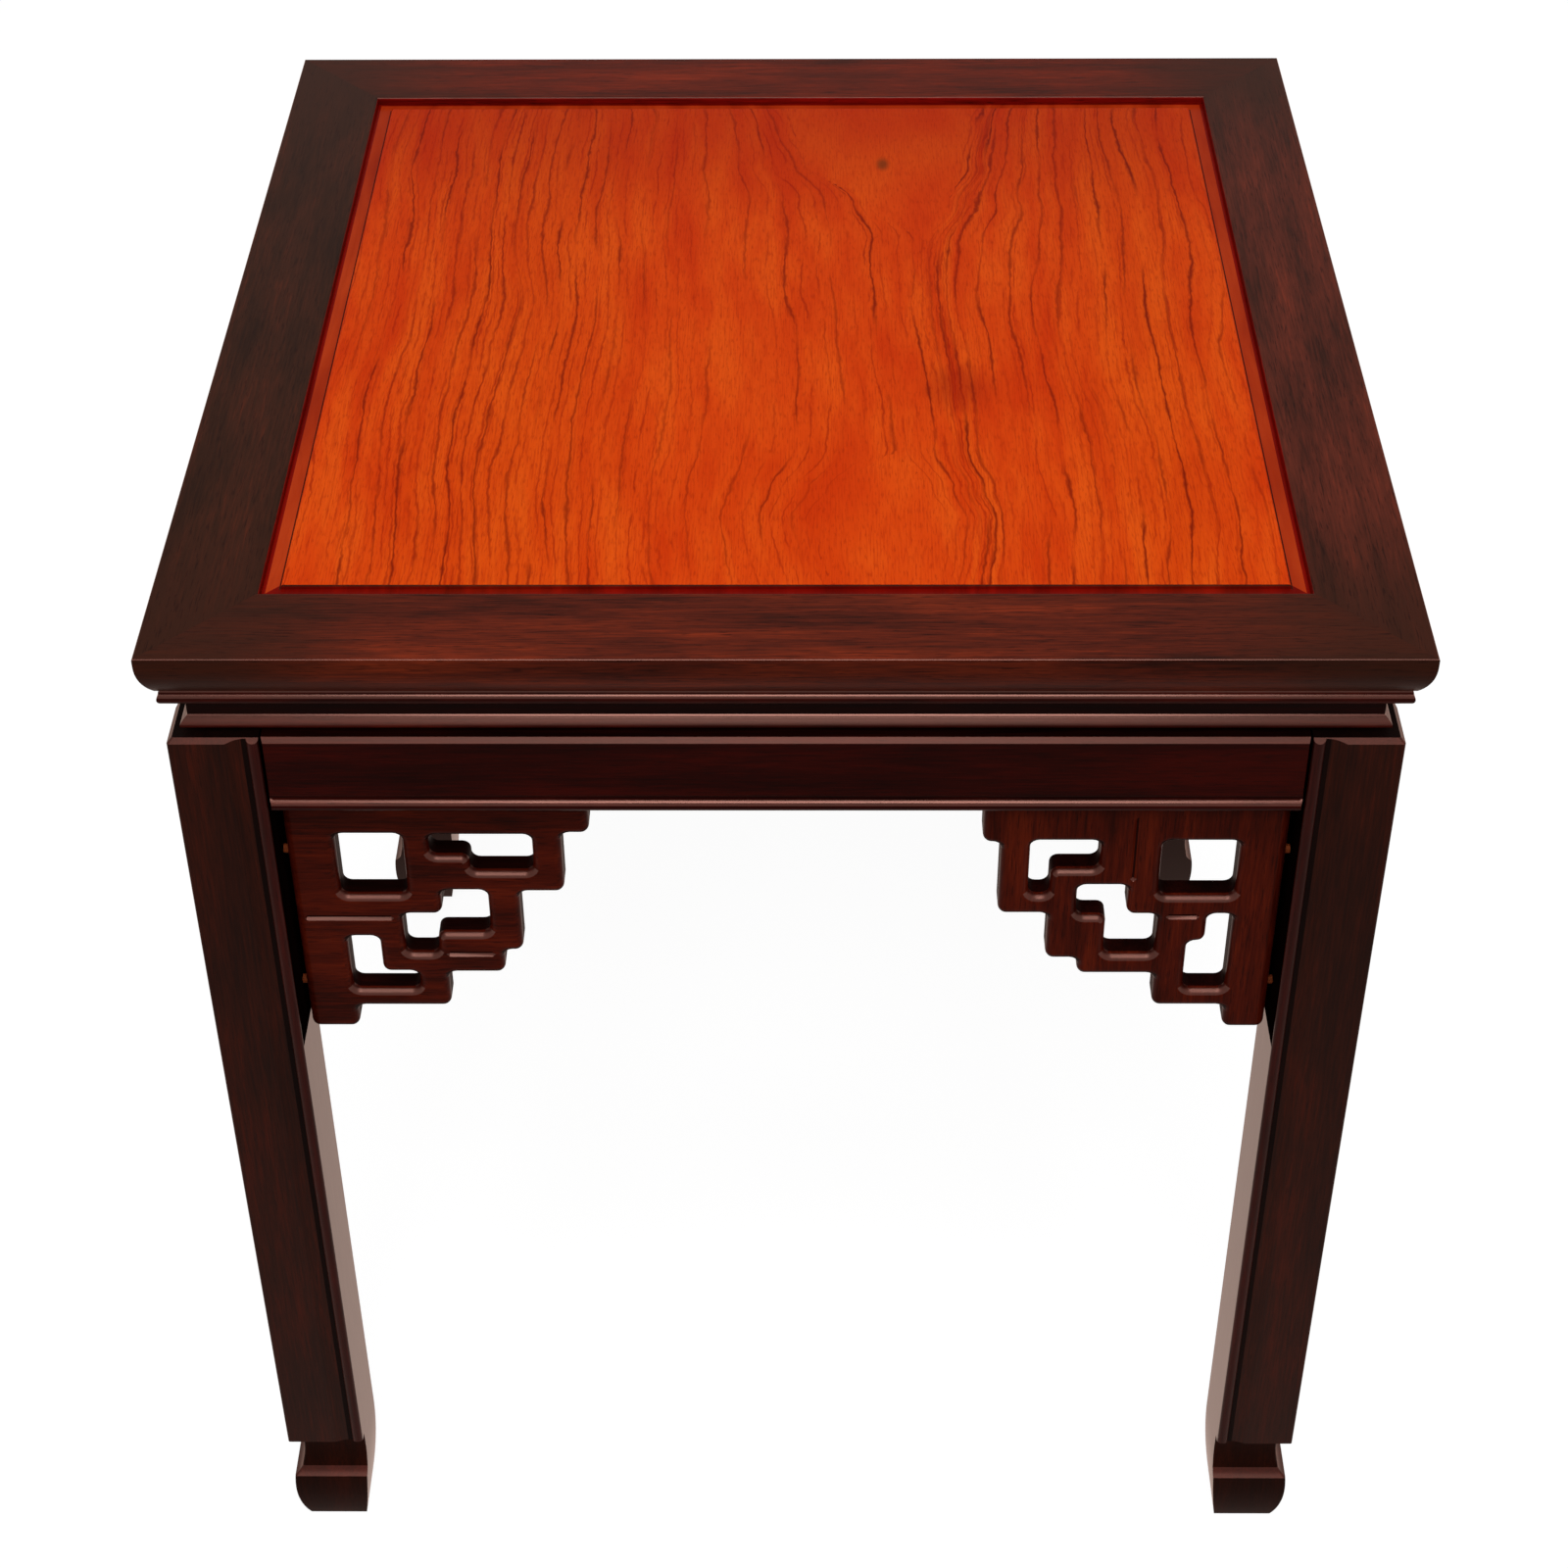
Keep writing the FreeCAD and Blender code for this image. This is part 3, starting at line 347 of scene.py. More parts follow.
def lacquered_rosewood(name, along, tones, gloss=0.34, sheen=0.02, ends=None, coat=1.0):
    """Rosewood stained nearly black-red under clear lacquer: soft dark and red figure along the
    grain, faint fibres and pores, and a warm sheen, stronger where an edge is rubbed bright.
    A rail can have its ends stained darker, and a wall can be left without lacquer or sheen, as in the
    painted black shade of the legs' gap beside the brackets."""
    finish, tree = new_finish(name)
    place = add_node(tree, "ShaderNodeTexCoord").outputs["Object"]
    noises = []
    for across_mm, along_mm, detail in (FIBRES, BANDS, PATCHES, PORES):
        sizes_mm = [along_mm if axis == along else across_mm for axis in "xyz"]
        noises.append(grain_noise(tree, place, sizes_mm, detail, FIGURE_ROUGHNESS))
    fibres, bands, patches, pores = noises
    figure = reckon(tree, "ADD", fibres, reckon(tree, "ADD", bands, patches))
    figure = ranged(tree, figure, FIGURE_SPAN)
    stain = add_node(tree, "ShaderNodeValToRGB", {0: figure}, stops=tones).outputs[0]
    if ends:
        far = add_node(tree, "ShaderNodeSeparateXYZ", {0: place}).outputs["xyz".index(along)]
        far = reckon(tree, "ABSOLUTE", far)
        dark = ranged(tree, far, DARK_END_SPAN, end=DARK_END_MOST, smooth=True)
        stain = laid_over(tree, dark, stain, ends)
    pore_mask = ranged(tree, pores, PORE_SPAN, end=PORE_MOST, smooth=True)
    filled = laid_over(tree, pore_mask, stain, PORE_FILL)
    satin = ranged(tree, fibres, start=gloss - SATIN_SPREAD, end=gloss + SATIN_SPREAD)
    relief = add_node(tree, "ShaderNodeBump", {
        "Height": fibres, "Strength": FIBRE_RELIEF, "Distance": FIBRE_HEIGHT})
    surface = add_node(tree, "ShaderNodeBsdfPrincipled", {
        "Base Color": filled, "Roughness": satin, "Normal": relief.outputs[0],
        "IOR": WOOD_IOR, "Specular IOR Level": sheen, "Specular Tint": srgb(SHEEN_TINT),
        "Coat Weight": coat, "Coat IOR": LACQUER_IOR, "Coat Roughness": gloss,
        "Coat Tint": srgb(LACQUER_TINT)})
    add_node(tree, "ShaderNodeOutputMaterial", {"Surface": surface.outputs[0]})
    return finish


def grained(name, axes, tones, **polish):
    """One rosewood finish for each axis that the grain can run along."""
    return {axis: lacquered_rosewood(f"{name}_{axis}", axis, tones, **polish) for axis in axes}


RAIL_TONES = {
    "front": ((0.05, "#28110c"), (0.4, "#4a1d13"), (0.7, "#602616"), (0.95, "#7a311b")),
    "back": ((0.05, "#300f07"), (0.4, "#52190a"), (0.7, "#66210d"), (0.95, "#7c2b12")),
    "left": ((0.05, "#1e110b"), (0.4, "#2b1910"), (0.7, "#371e14"), (0.95, "#482316")),
    "right": ((0.05, "#2a150f"), (0.4, "#452119"), (0.7, "#56291f"), (0.95, "#6a3022")),
}
# Painted reflection: the walls round the opening are coloured red to stand in for the orange panel's
# light bouncing onto them.
WALL_TONES = ((0.1, "#4c0603"), (0.5, "#6a0a05"), (0.9, "#840f07"))
EDGE_TONES = ((0.1, "#240b08"), (0.5, "#34110d"), (0.9, "#461914"))
END_STAIN = "#2e1a12"
rubbed_edge = grained("rubbed_edge", "xy", EDGE_TONES, gloss=0.2, sheen=0.7)
panel_reflection_wall = grained("painted_red_panel_reflection", "xy", WALL_TONES)
GRAIN_AXIS = {"front": "x", "back": "x", "left": "y", "right": "y"}

for side in SIDE_TURNS:
    along, reach, inner, bottom, top = side_reach(f"top_rail_{side}", side)
    roll_height = top - EDGE_FLAT - bottom
    roll_radius = (EDGE_ROLL ** 2 + roll_height ** 2) / (2 * EDGE_ROLL)
    rolled_edge = []
    for run in range(1, ARC_RUNS + 1):
        angle = math.asin(roll_height / roll_radius) * (1 - run / ARC_RUNS)
        rolled_edge.append((reach - roll_radius * (1 - math.cos(angle)),
                            top - EDGE_FLAT - roll_radius * math.sin(angle), 0))
    outline = [
        (inner, bottom, HIDDEN_ARRIS),
        (reach - EDGE_ROLL, bottom, HIDDEN_ARRIS),
        *rolled_edge,
        (reach, top, RAIL_ARRIS),
        (inner, top, OPENING_ARRIS),
        (inner, top - GROOVE_TOP, 0),
        (inner + GROOVE_DEPTH, top - GROOVE_TOP, 0),
        (inner + GROOVE_DEPTH, top - GROOVE_TOP - GROOVE_HEIGHT, 0),
        (inner, top - GROOVE_TOP - GROOVE_HEIGHT, 0),
    ]
    points, faces = strip(softened(outline), lambda out: along - reach + out, side)
    grain = GRAIN_AXIS[side]
    rail_wood = lacquered_rosewood(f"rail_rosewood_{side}", grain, RAIL_TONES[side], ends=END_STAIN)
    finishes = {"flat": rail_wood, "edge": rubbed_edge[grain], "wall": panel_reflection_wall[grain]}

    def rail_mark(face):
        """Which finish a face of a rail has: the panel's red reflection painted on the opening's wall,
        rubbed edges.
        """
        middle = face.calc_center_median()
        out = abs(middle.x) if grain == "y" else abs(middle.y)
        if out < inner + 2 * OPENING_ARRIS and face.normal.z < FLAT_RISE:
            if face.normal.z < STEEP_RISE:
                return "wall"
            return "edge" if grain == "x" else "flat"
        return worked(face)

    dressed_piece(f"mitred_rail_{side}", points, faces, finishes,
                  f"top_rail_{side}", rail_mark)

# Centre panel: one solid board of orange rosewood under clear gloss lacquer, floating in
# the rails' grooves on a thin tongue. Its field is raised above a narrow sunk margin, and
# its dark growth lines run from front to back and part round a knot and a patch of plain wood.
FIELD_CELLS = 140
MARGIN_STEP = 1.8 * MM
TONGUE_THICKNESS = 5.5 * MM
TONGUE_AND_MARGIN = 13.5 * MM
FIELD_ARRIS = 1.0 * MM
FINE_ARRIS = 0.4 * MM
# Width of the painted shade in the quirk at the foot of the field
QUIRK = 0.8 * MM
# Width of the margin beside the rails that is painted with their red reflection
RED_BAND_WIDTH = 1.5 * MM
# Plain wood that the growth lines part round: rows of depth, left edge and right edge, in mm
PARTINGS = (
    ((220, -6, 99), (183, 1, 89), (143, 9, 81), (105, 38, 75), (67, 65, 66), (45, 67, 67)),
    ((-105, 44, 44), (-135, 24, 58), (-157, 15, 67), (-180, 17, 66), (-220, 26, 58)),
)
PARTING_REACH_MM = 30
PLAIN_SHARE = 0.08
# Where the growth lines crowd: middle across and half width in mm, and lines for each mm
CROWDS = ((-132, 55, 0.1), (150, 60, 0.055), (73, 8, 0.22))
OPEN_LINES = 0.05
SWAY_MM = 2.6
SWAY_LENGTH_MM = 210
SWAY_SHIFT_MM = 70
HALF_STEP_MM = 0.5
# Wavering of the lines: its size across and deep in mm, and how far it goes aside in mm
WAVERS = ((34, 80, 8), (11, 26, 2.2), (2.6, 5, 1.2))
WAVER_DETAIL = 1.0
# Main and fine lines: lines for each one counted, shift of the first, thinnest and thickest in mm,
# length of the breaks and of the swellings in mm, and strength of the weakest
VEINS = ((1.0, 0.0, 0.6, 1.6, 80, 14, 0.45), (2.6, 0.37, 0.5, 1.0, 24, 9, 0.1))
VEIN_DETAIL = 1.5
BREAK_STEP = 3.7
BREAK_SPAN = (0.34, 0.56)
SWELL_STEP = 5.3
SWELL_SPAN = (0.35, 0.75)
FADING_SPACING_MM = (26.0, 60.0)
BAND_SIZE_MM = (38, 100)
BAND_BEND = 0.5
BAND_DETAIL = 3.0
# Fine marks: size across and deep in mm, and the span of the noise that shows
PANEL_FIBRES = (0.7, 16, (0.45, 0.8))
PANEL_PORES = (0.7, 5.5, (0.56, 0.74))
MARK_DETAIL = 2.0
BACK_SPAN = (60 * MM, 205 * MM)
ACROSS_SPAN = (-205 * MM, 205 * MM)
AMBER_SHARES = ((0.06, "#000000"), (0.22, "#ffffff"), (0.36, "#303030"),
                (0.78, "#404040"), (0.9, "#ffffff"), (0.99, "#000000"))
# Dark spots: middle and reach, across and deep in mm
KNOT = ((46, 144), (4.5, 9))
SMUDGE = ((75, -57), (21, 26))
SPOT_SPAN = (0.2, 1.0)
PANEL_GLOSS = 0.22


def growth_line(across, deep):
    """The number of the growth line at a spot of the panel, counted across from the middle."""
    across += SWAY_MM * math.sin(2 * math.pi * deep / SWAY_LENGTH_MM + across / SWAY_SHIFT_MM)
    for rows in PARTINGS:
        for (far, far_left, far_right), (near, near_left, near_right) in zip(rows, rows[1:]):
            if near <= deep < far:
                share = (deep - near) / (far - near)
                share *= share * (3 - 2 * share)
                left = near_left + (far_left - near_left) * share
                right = near_right + (far_right - near_right) * share
                half = (right - left) / 2
                off = across - left - half
                past = max(0.0, abs(off) - half)
                kept = min(abs(off), half) * PLAIN_SHARE
                pulled = past + half * (1 - PLAIN_SHARE) * (1 - math.exp(-past / PARTING_REACH_MM))
                across = left + half + math.copysign(kept + pulled, off)
    count = OPEN_LINES * across
    for middle, half_width, lines in CROWDS:
        count += lines * half_width * math.sqrt(math.pi) / 2 * math.erf((across - middle) / half_width)
    return count


def paired_noise(tree, aside, run, detail):
    """Noise over two values, one that counts across the lines and one along them."""
    spot = add_node(tree, "ShaderNodeCombineXYZ", {0: aside, 1: run})
    return add_node(tree, "ShaderNodeTexNoise", {
        "Vector": spot.outputs[0], "Scale": 1.0, "Detail": detail}, noise_dimensions="2D").outputs[0]


def panel_rosewood(name, ground_tones, figure):
    """Pale rosewood dyed orange-red under gloss lacquer: a smooth ground of red and amber bands,
    thin dark brown growth lines that waver, thicken and break, and faint fine fibres."""
    finish, tree = new_finish(name)
    place = add_node(tree, "ShaderNodeTexCoord").outputs["Object"]
    axes = add_node(tree, "ShaderNodeSeparateXYZ", {0: place})
    across = axes.outputs[0]
    deep = axes.outputs[1]
    line = add_node(tree, "ShaderNodeAttribute", attribute_name="growth_line").outputs["Fac"]
    spacing = add_node(tree, "ShaderNodeAttribute", attribute_name="line_spacing").outputs["Fac"]

    for across_mm, deep_mm, sway_mm in WAVERS:
        noise = grain_noise(tree, place, (across_mm, deep_mm, deep_mm), WAVER_DETAIL, dimensions="2D")
        aside = reckon(tree, "MULTIPLY_ADD", noise, sway_mm, -sway_mm / 2)
        line = reckon(tree, "ADD", line, reckon(tree, "DIVIDE", aside, spacing))

    lined = ranged(tree, spacing, FADING_SPACING_MM, 1.0, 0.0)
    veins = []
    for lines, first, thin_mm, thick_mm, break_mm, swell_mm, least in VEINS:
        counted = reckon(tree, "MULTIPLY_ADD", line, lines, first)
        number = reckon(tree, "FLOOR", counted)
        off = reckon(tree, "SUBTRACT", reckon(tree, "FRACT", counted), 0.5)
        off = reckon(tree, "MULTIPLY", reckon(tree, "ABSOLUTE", off), spacing)
        off_mm = reckon(tree, "DIVIDE", off, lines)
        chance = add_node(tree, "ShaderNodeTexWhiteNoise", {"W": number}, noise_dimensions="1D")
        runs = []
        for length_mm, step in ((break_mm, BREAK_STEP), (swell_mm, SWELL_STEP)):
            aside = reckon(tree, "MULTIPLY", number, step)
            run = reckon(tree, "MULTIPLY", deep, 1 / (length_mm * MM))
            runs.append(paired_noise(tree, aside, run, VEIN_DETAIL))
        breaks, swells = runs
        width_mm = ranged(tree, swells, SWELL_SPAN, thin_mm, thick_mm)
        vein = ranged(tree, off_mm, (0.0, width_mm), 1.0, 0.0, smooth=True)
        dash = ranged(tree, breaks, BREAK_SPAN, smooth=True)
        strength = ranged(tree, chance.outputs["Value"], start=least)
        for share in (dash, lined, strength):
            vein = reckon(tree, "MULTIPLY", vein, share)
        veins.append(vein)
    main_veins, fine_veins = veins

    aside = reckon(tree, "MULTIPLY", across, 1 / (BAND_SIZE_MM[0] * MM))
    aside = reckon(tree, "MULTIPLY_ADD", line, BAND_BEND, aside)
    run = reckon(tree, "MULTIPLY", deep, 1 / (BAND_SIZE_MM[1] * MM))
    bands = paired_noise(tree, aside, run, BAND_DETAIL)
    marks = []
    for across_mm, deep_mm, span in (PANEL_FIBRES, PANEL_PORES):
        noise = grain_noise(tree, place, (across_mm, deep_mm, deep_mm), MARK_DETAIL, dimensions="2D")
        marks.append(ranged(tree, noise, span))
    fibres, pores = marks
    back_edge = ranged(tree, deep, BACK_SPAN, smooth=True)
    across_share = ranged(tree, across, ACROSS_SPAN)
    amber = add_node(tree, "ShaderNodeValToRGB", {0: across_share}, stops=AMBER_SHARES).outputs[0]
    spots = []
    for middle, reach in (KNOT, SMUDGE):
        moved = add_node(tree, "ShaderNodeVectorMath", {
            0: place, 1: (-middle[0] * MM, -middle[1] * MM, 0)}, operation="ADD")
        scale = (1 / (reach[0] * MM), 1 / (reach[1] * MM), 0)
        drawn = add_node(tree, "ShaderNodeVectorMath", {
            0: moved.outputs[0], 1: scale}, operation="MULTIPLY")
        away = add_node(tree, "ShaderNodeVectorMath", {0: drawn.outputs[0]}, operation="LENGTH")
        spots.append(ranged(tree, away.outputs["Value"], SPOT_SPAN, 1.0, 0.0, smooth=True))
    knot, smudge = spots

    colour = add_node(tree, "ShaderNodeValToRGB", {0: bands}, stops=ground_tones).outputs[0]
    layers = (
        (amber, "#d2600f", 0.32),
        (back_edge, "#9e2003", 0.5),
        (fibres, "#a02606", 0.45),
        (pores, "#8a1e04", 0.4),
        (smudge, "#8c1a06", 0.45),
        (knot, "#5f3412", 0.75),
        (fine_veins, "#8a1c04", 0.7),
        (main_veins, "#6e1603", 0.92),
    )
    for mask, hex_colour, most in layers:
        colour = laid_over(tree, reckon(tree, "MULTIPLY", mask, most * figure), colour, hex_colour)
    surface = add_node(tree, "ShaderNodeBsdfPrincipled", {
        "Base Color": colour, "Roughness": PANEL_GLOSS, "Specular IOR Level": 0.0,
        "Coat Weight": 1.0, "Coat IOR": LACQUER_IOR, "Coat Roughness": PANEL_GLOSS,
        "Coat Tint": srgb(LACQUER_TINT)})
    add_node(tree, "ShaderNodeOutputMaterial", {"Surface": surface.outputs[0]})
    return finish


FIELD_TONES = ((0.3, "#c03c0a"), (0.5, "#ca4a0f"), (0.7, "#d25814"))
MARGIN_TONES = ((0.3, "#8a2a10"), (0.5, "#9c3614"), (0.7, "#ac421a"))
# Painted shade and reflection: dark red on the risers and along the front, where the sunk margin lies in
# shade, and beside the rails, where their red wall reflects.
RED_SHADE_TONES = ((0.3, "#540804"), (0.5, "#660a05"), (0.7, "#780e06"))
# Painted shade: a dark line in the quirk at the foot of the field and along its front arris.
QUIRK_TONES = ((0.3, "#2e100a"), (0.5, "#3a150c"), (0.7, "#461a0e"))
panel_finishes = {
    "field": panel_rosewood("panel_rosewood_gloss", FIELD_TONES, figure=1.0),
    "margin": panel_rosewood("margin_rosewood_gloss", MARGIN_TONES, figure=0.25),
    "stain": panel_rosewood("painted_red_shade_and_reflection", RED_SHADE_TONES, figure=0.1),
    "quirk_shade": panel_rosewood("painted_shade_in_quirk", QUIRK_TONES, figure=0.1),
}

panel_low, panel_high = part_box("centre_panel")
field_half = panel_high.x - TONGUE_AND_MARGIN
tongue_top = panel_high.z - MARGIN_STEP
red_band_start = side_reach("top_rail_front", "front")[2] - RED_BAND_WIDTH


def panel_mark(face):
    """Which finish a face of the panel has: the field, the sunk margin, dark red painted shade on the
    risers and along the front with the rails' painted red reflection beside them, or painted shade in
    the quirk and on the front arris."""
    middle = face.calc_center_median()
    out = max(abs(middle.x), abs(middle.y))
    if middle.z < tongue_top - FINE_ARRIS:
        return "margin"
    if face.normal.z < EDGE_RISE or -middle.y > field_half or out > red_band_start:
        return "stain"
    if out > field_half:
        return "quirk_shade" if out < field_half + QUIRK else "margin"
    return "quirk_shade" if worked(face) == "edge" and face.normal.y < -EDGE_RISE else "field"


panel_edge = [(field_half, panel_low.z), (field_half, tongue_top - TONGUE_THICKNESS),
              (panel_high.x, tongue_top - TONGUE_THICKNESS), (panel_high.x, tongue_top),
              (red_band_start, tongue_top), (field_half + QUIRK, tongue_top), (field_half, tongue_top)]
for run in range(ARRIS_RUNS + 1):
    angle = math.pi / 2 * run / ARRIS_RUNS
    panel_edge.append((field_half - FIELD_ARRIS * (1 - math.cos(angle)),
                       panel_high.z - FIELD_ARRIS * (1 - math.sin(angle))))
ring_spots = []
for side in range(4):
    for cell in range(FIELD_CELLS):
        along = 2 * cell / FIELD_CELLS - 1
        ring_spots.append(((along, -1), (1, along), (-along, 1), (-1, -along))[side])
panel_points = [(half * u, half * v, up) for half, up in panel_edge for u, v in ring_spots]
ring = len(ring_spots)
panel_faces = [tuple(reversed(range(ring))), *ring_walls(0, ring, len(panel_edge))]
top_half = panel_edge[-1][0]
field_start = len(panel_points)
for row in range(FIELD_CELLS + 1):
    for column in range(FIELD_CELLS + 1):
        panel_points.append((top_half * (2 * column / FIELD_CELLS - 1),
                             top_half * (2 * row / FIELD_CELLS - 1), panel_high.z))
for row in range(FIELD_CELLS):
    for column in range(FIELD_CELLS):
        corner = field_start + row * (FIELD_CELLS + 1) + column
        panel_faces.append((corner, corner + 1, corner + FIELD_CELLS + 2, corner + FIELD_CELLS + 1))
panel = dressed_piece("floating_panel", panel_points, panel_faces, panel_finishes,
                      "centre_panel", panel_mark)
numbering = panel.data.attributes.new("growth_line", "FLOAT", "POINT")
gaps = panel.data.attributes.new("line_spacing", "FLOAT", "POINT")
for vertex in panel.data.vertices:
    across, deep = vertex.co.x / MM, vertex.co.y / MM
    numbering.data[vertex.index].value = growth_line(across, deep)
    lines_in_mm = growth_line(across + HALF_STEP_MM, deep) - growth_line(across - HALF_STEP_MM, deep)
    gaps.data[vertex.index].value = 2 * HALF_STEP_MM / lines_in_mm

# Panel battens: two plain bars of the frame's wood that slide in dovetail slots across
# the underside of the panel and keep it flat.
UNDERSIDE_TONES = ((0.1, "#1a0906"), (0.5, "#33120c"), (0.9, "#4a1a10"))
batten_wood = lacquered_rosewood("batten_rosewood", "x", UNDERSIDE_TONES, gloss=0.45)
for name in ("panel_batten_front", "panel_batten_back"):
    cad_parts[name].data.materials[0] = batten_wood

# Waist, three rosewood strips run round under the frame: a round-edged one with a fine line
# scratched along it, a narrow set-back board, and a sloped moulding that stands on legs and
# aprons over a black shadow gap. All are mitred at the corners and tongued together.
BEAD_RISE = 3.4 * MM
BEAD_ROUND = 2.1 * MM
SCRATCH_HEIGHT = 5.4 * MM
SCRATCH_INSET = 1 * MM
SHOULDER_INSET = 2.6 * MM
SHOULDER_ROUND = 0.7 * MM
MOULDING_REACH = 3 * MM
MOULDING_NOSE = 1.3 * MM
MOULDING_REST = 6.5 * MM
MOULDING_FILLET = 0.3 * MM
MOULDING_CROWN = 0.2 * MM
MOULDING_RUB = 1.1 * MM
SHADOW_GAP = 2.2 * MM
NOSE_RUNS = 14
SHOULDER_RUNS = 6
CROWN_RUNS = 8
STRIP_TONES = ((0.1, "#1e0705"), (0.5, "#330e0a"), (0.9, "#4e1710"))
# Painted shade: the set-back board and the aprons' tops are near black, as they lie in shade under the
# strips above.
SHADED_BOARD_TONES = ((0.1, "#0a0202"), (0.5, "#140403"), (0.9, "#200705"))
strip_grain = grained("waist_strip_rosewood", "xy", STRIP_TONES)
shaded_board_grain = grained("waist_board_painted_shade", "xy", SHADED_BOARD_TONES)
planed_edge = grained("planed_edge", "xyz", EDGE_TONES, gloss=0.36, sheen=0.34)


def mitred_piece(name, node, side, outline, grain, mark=worked):
    """A strip run round one side of the table with both its ends cut to the mitre."""
    along, reach = side_reach(node, side)[:2]
    points, faces = strip(softened(outline), lambda out: along - reach + out, side)
    axis = GRAIN_AXIS[side]
    finishes = {"flat": grain[axis], "edge": rubbed_edge[axis], "planed": planed_edge[axis]}
    dressed_piece(f"{name}_{side}", points, faces, finishes, node, mark)


for side in SIDE_TURNS:
    _, reach, inner, bottom, top = side_reach(f"bead_strip_{side}", side)
    scratch = (reach - SCRATCH_INSET, bottom + SCRATCH_HEIGHT)
    bead_outline = [
        (inner, bottom, 0),
        *bow((reach - BEAD_RISE, bottom), scratch, BEAD_ROUND, NOSE_RUNS),
        *bow(scratch, (reach - SHOULDER_INSET, top), SHOULDER_ROUND, SHOULDER_RUNS)[1:],
        (inner, top, 0),
    ]
    mitred_piece("round_edged_strip", f"bead_strip_{side}", side, bead_outline, strip_grain)

    bead_foot = bottom
    moulding_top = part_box(f"waist_moulding_{side}")[1].z
    _, reach, inner, _, _ = side_reach(f"waist_board_{side}", side)
    board_outline = [
        (inner, moulding_top, 0),
        (reach, moulding_top, 0),
        (reach, bead_foot, 0),
        (inner, bead_foot, 0),
    ]
    mitred_piece("set_back_board", f"waist_board_{side}", side, board_outline, shaded_board_grain)

    _, reach, inner, bottom, top = side_reach(f"waist_moulding_{side}", side)
    nose_bottom = bottom + SHADOW_GAP
    slope_foot = (reach, nose_bottom + MOULDING_NOSE)
    slope_head = (reach - MOULDING_REACH + MOULDING_FILLET, top - FINE_ARRIS)
    moulding_outline = [
        (inner, bottom, 0),
        (inner + MOULDING_REST, bottom, 0),
        (inner + MOULDING_REST, nose_bottom, 0),
        (reach, nose_bottom, FINE_ARRIS),
        *bow(slope_foot, slope_head, MOULDING_CROWN, CROWN_RUNS),
        (reach - MOULDING_REACH, top, 0),
        (inner, top, 0),
    ]

    def moulding_mark(face):
        """Which finish a face of the moulding has: a planed slope, rubbed bright along its top."""
        low = face.calc_center_median().z < top - MOULDING_RUB
        return "planed" if low and worked(face) == "edge" else worked(face)

    mitred_piece("sloped_moulding", f"waist_moulding_{side}", side,
                 moulding_outline, strip_grain, moulding_mark)

# Aprons: four rosewood boards tenoned between the legs. The top edge is bevelled, and along
# the foot a half-round bead stands below a square groove.
APRON_CHAMFER = 2 * MM
APRON_BEAD = 6.2 * MM
APRON_BEAD_RISE = 2.2 * MM
APRON_GROOVE = 3 * MM
END_EASE = 1.6 * MM
END_EASE_DEPTH = 5 * MM
APRON_TONES = ((0.1, "#180302"), (0.5, "#280604"), (0.9, "#380a06"))
apron_grain = grained("apron_rosewood", "xy", APRON_TONES)
leg_low, leg_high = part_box("leg_front_left")
LEG_SIZE = leg_high.x - leg_low.x
shoulder = -leg_high.x
for side in SIDE_TURNS:
    _, face, back, bottom, top = side_reach(f"apron_{side}", side)
    bead_line = face - APRON_BEAD_RISE
    bead_top = bottom + APRON_BEAD
    apron_outline = [
        (back, bottom, HIDDEN_ARRIS),
        *bow((bead_line, bottom), (bead_line, bead_top), APRON_BEAD_RISE),
        (bead_line, bead_top + APRON_GROOVE, 0),
        (face, bead_top + APRON_GROOVE, FINE_ARRIS),
        (face, top - APRON_CHAMFER, FINE_ARRIS),
        (face - APRON_CHAMFER, top, FINE_ARRIS),
        (back, top, HIDDEN_ARRIS),
    ]

    def eased_end(out):
        """Where an apron ends at a distance out: at the leg, and eased back near its face."""
        return shoulder - END_EASE * max(0.0, 1 - (face - out) / END_EASE_DEPTH)

    points, faces = strip(softened(apron_outline), eased_end, side)
    grain = GRAIN_AXIS[side]
    finishes = {"flat": apron_grain[grain], "edge": rubbed_edge[grain],
                "planed": planed_edge[grain], "top": shaded_board_grain[grain]}

    def apron_mark(face):
        """Which finish a face of an apron has: painted shade on top, a planed bevel, a rubbed bead."""
        if face.normal.z > FLAT_RISE:
            return "top"
        above = face.calc_center_median().z > top - 2 * APRON_CHAMFER
        return "planed" if above and face.normal.z > STEEP_RISE else worked(face)

    dressed_piece(f"beaded_apron_{side}", points, faces, finishes,
                  f"apron_{side}", apron_mark)

# Legs: square rosewood posts with a scoop and a bead run down the inner edge of both outer
# faces. Each foot is a hoof: a hollow neck, a ledge, a ridge, and a turn in to the sole.
# Above the aprons a slimmer post stands inside the waist and carries the frame on a tenon.
SCOOP_WIDTH = 8.5 * MM
SCOOP_DEPTH = 1.7 * MM
# Width of painted shade along the bottom of the scoop, beside the bead
SCOOP_SHADE = 2.2 * MM
LEG_BEAD = 5 * MM
LEG_ARRIS = 1 * MM
LEG_CHAMFER = 2 * MM
HOOF_HEIGHT = 61.8 * MM
HOOF_STEP = 5.5 * MM
NECK_HOLLOW = 1.2 * MM
LEDGE_DEPTH = 3.7 * MM
LEDGE_HEIGHT = 3.8 * MM
RIDGE_HEIGHT = 34 * MM
RIDGE_INSET = 0.4 * MM
HOOF_SWELL = 2 * MM
SOLE_INSET = 4 * MM
SOLE_TAPER = 4 * MM
TAPER_HEIGHT = 48 * MM
POST_INSET = 18.8 * MM
LEG_TENON = 7.5 * MM
FACE_RUNS = 8
SWELL_RUNS = 12
LEDGE_RUNS = 4
NECK_RUNS = 8
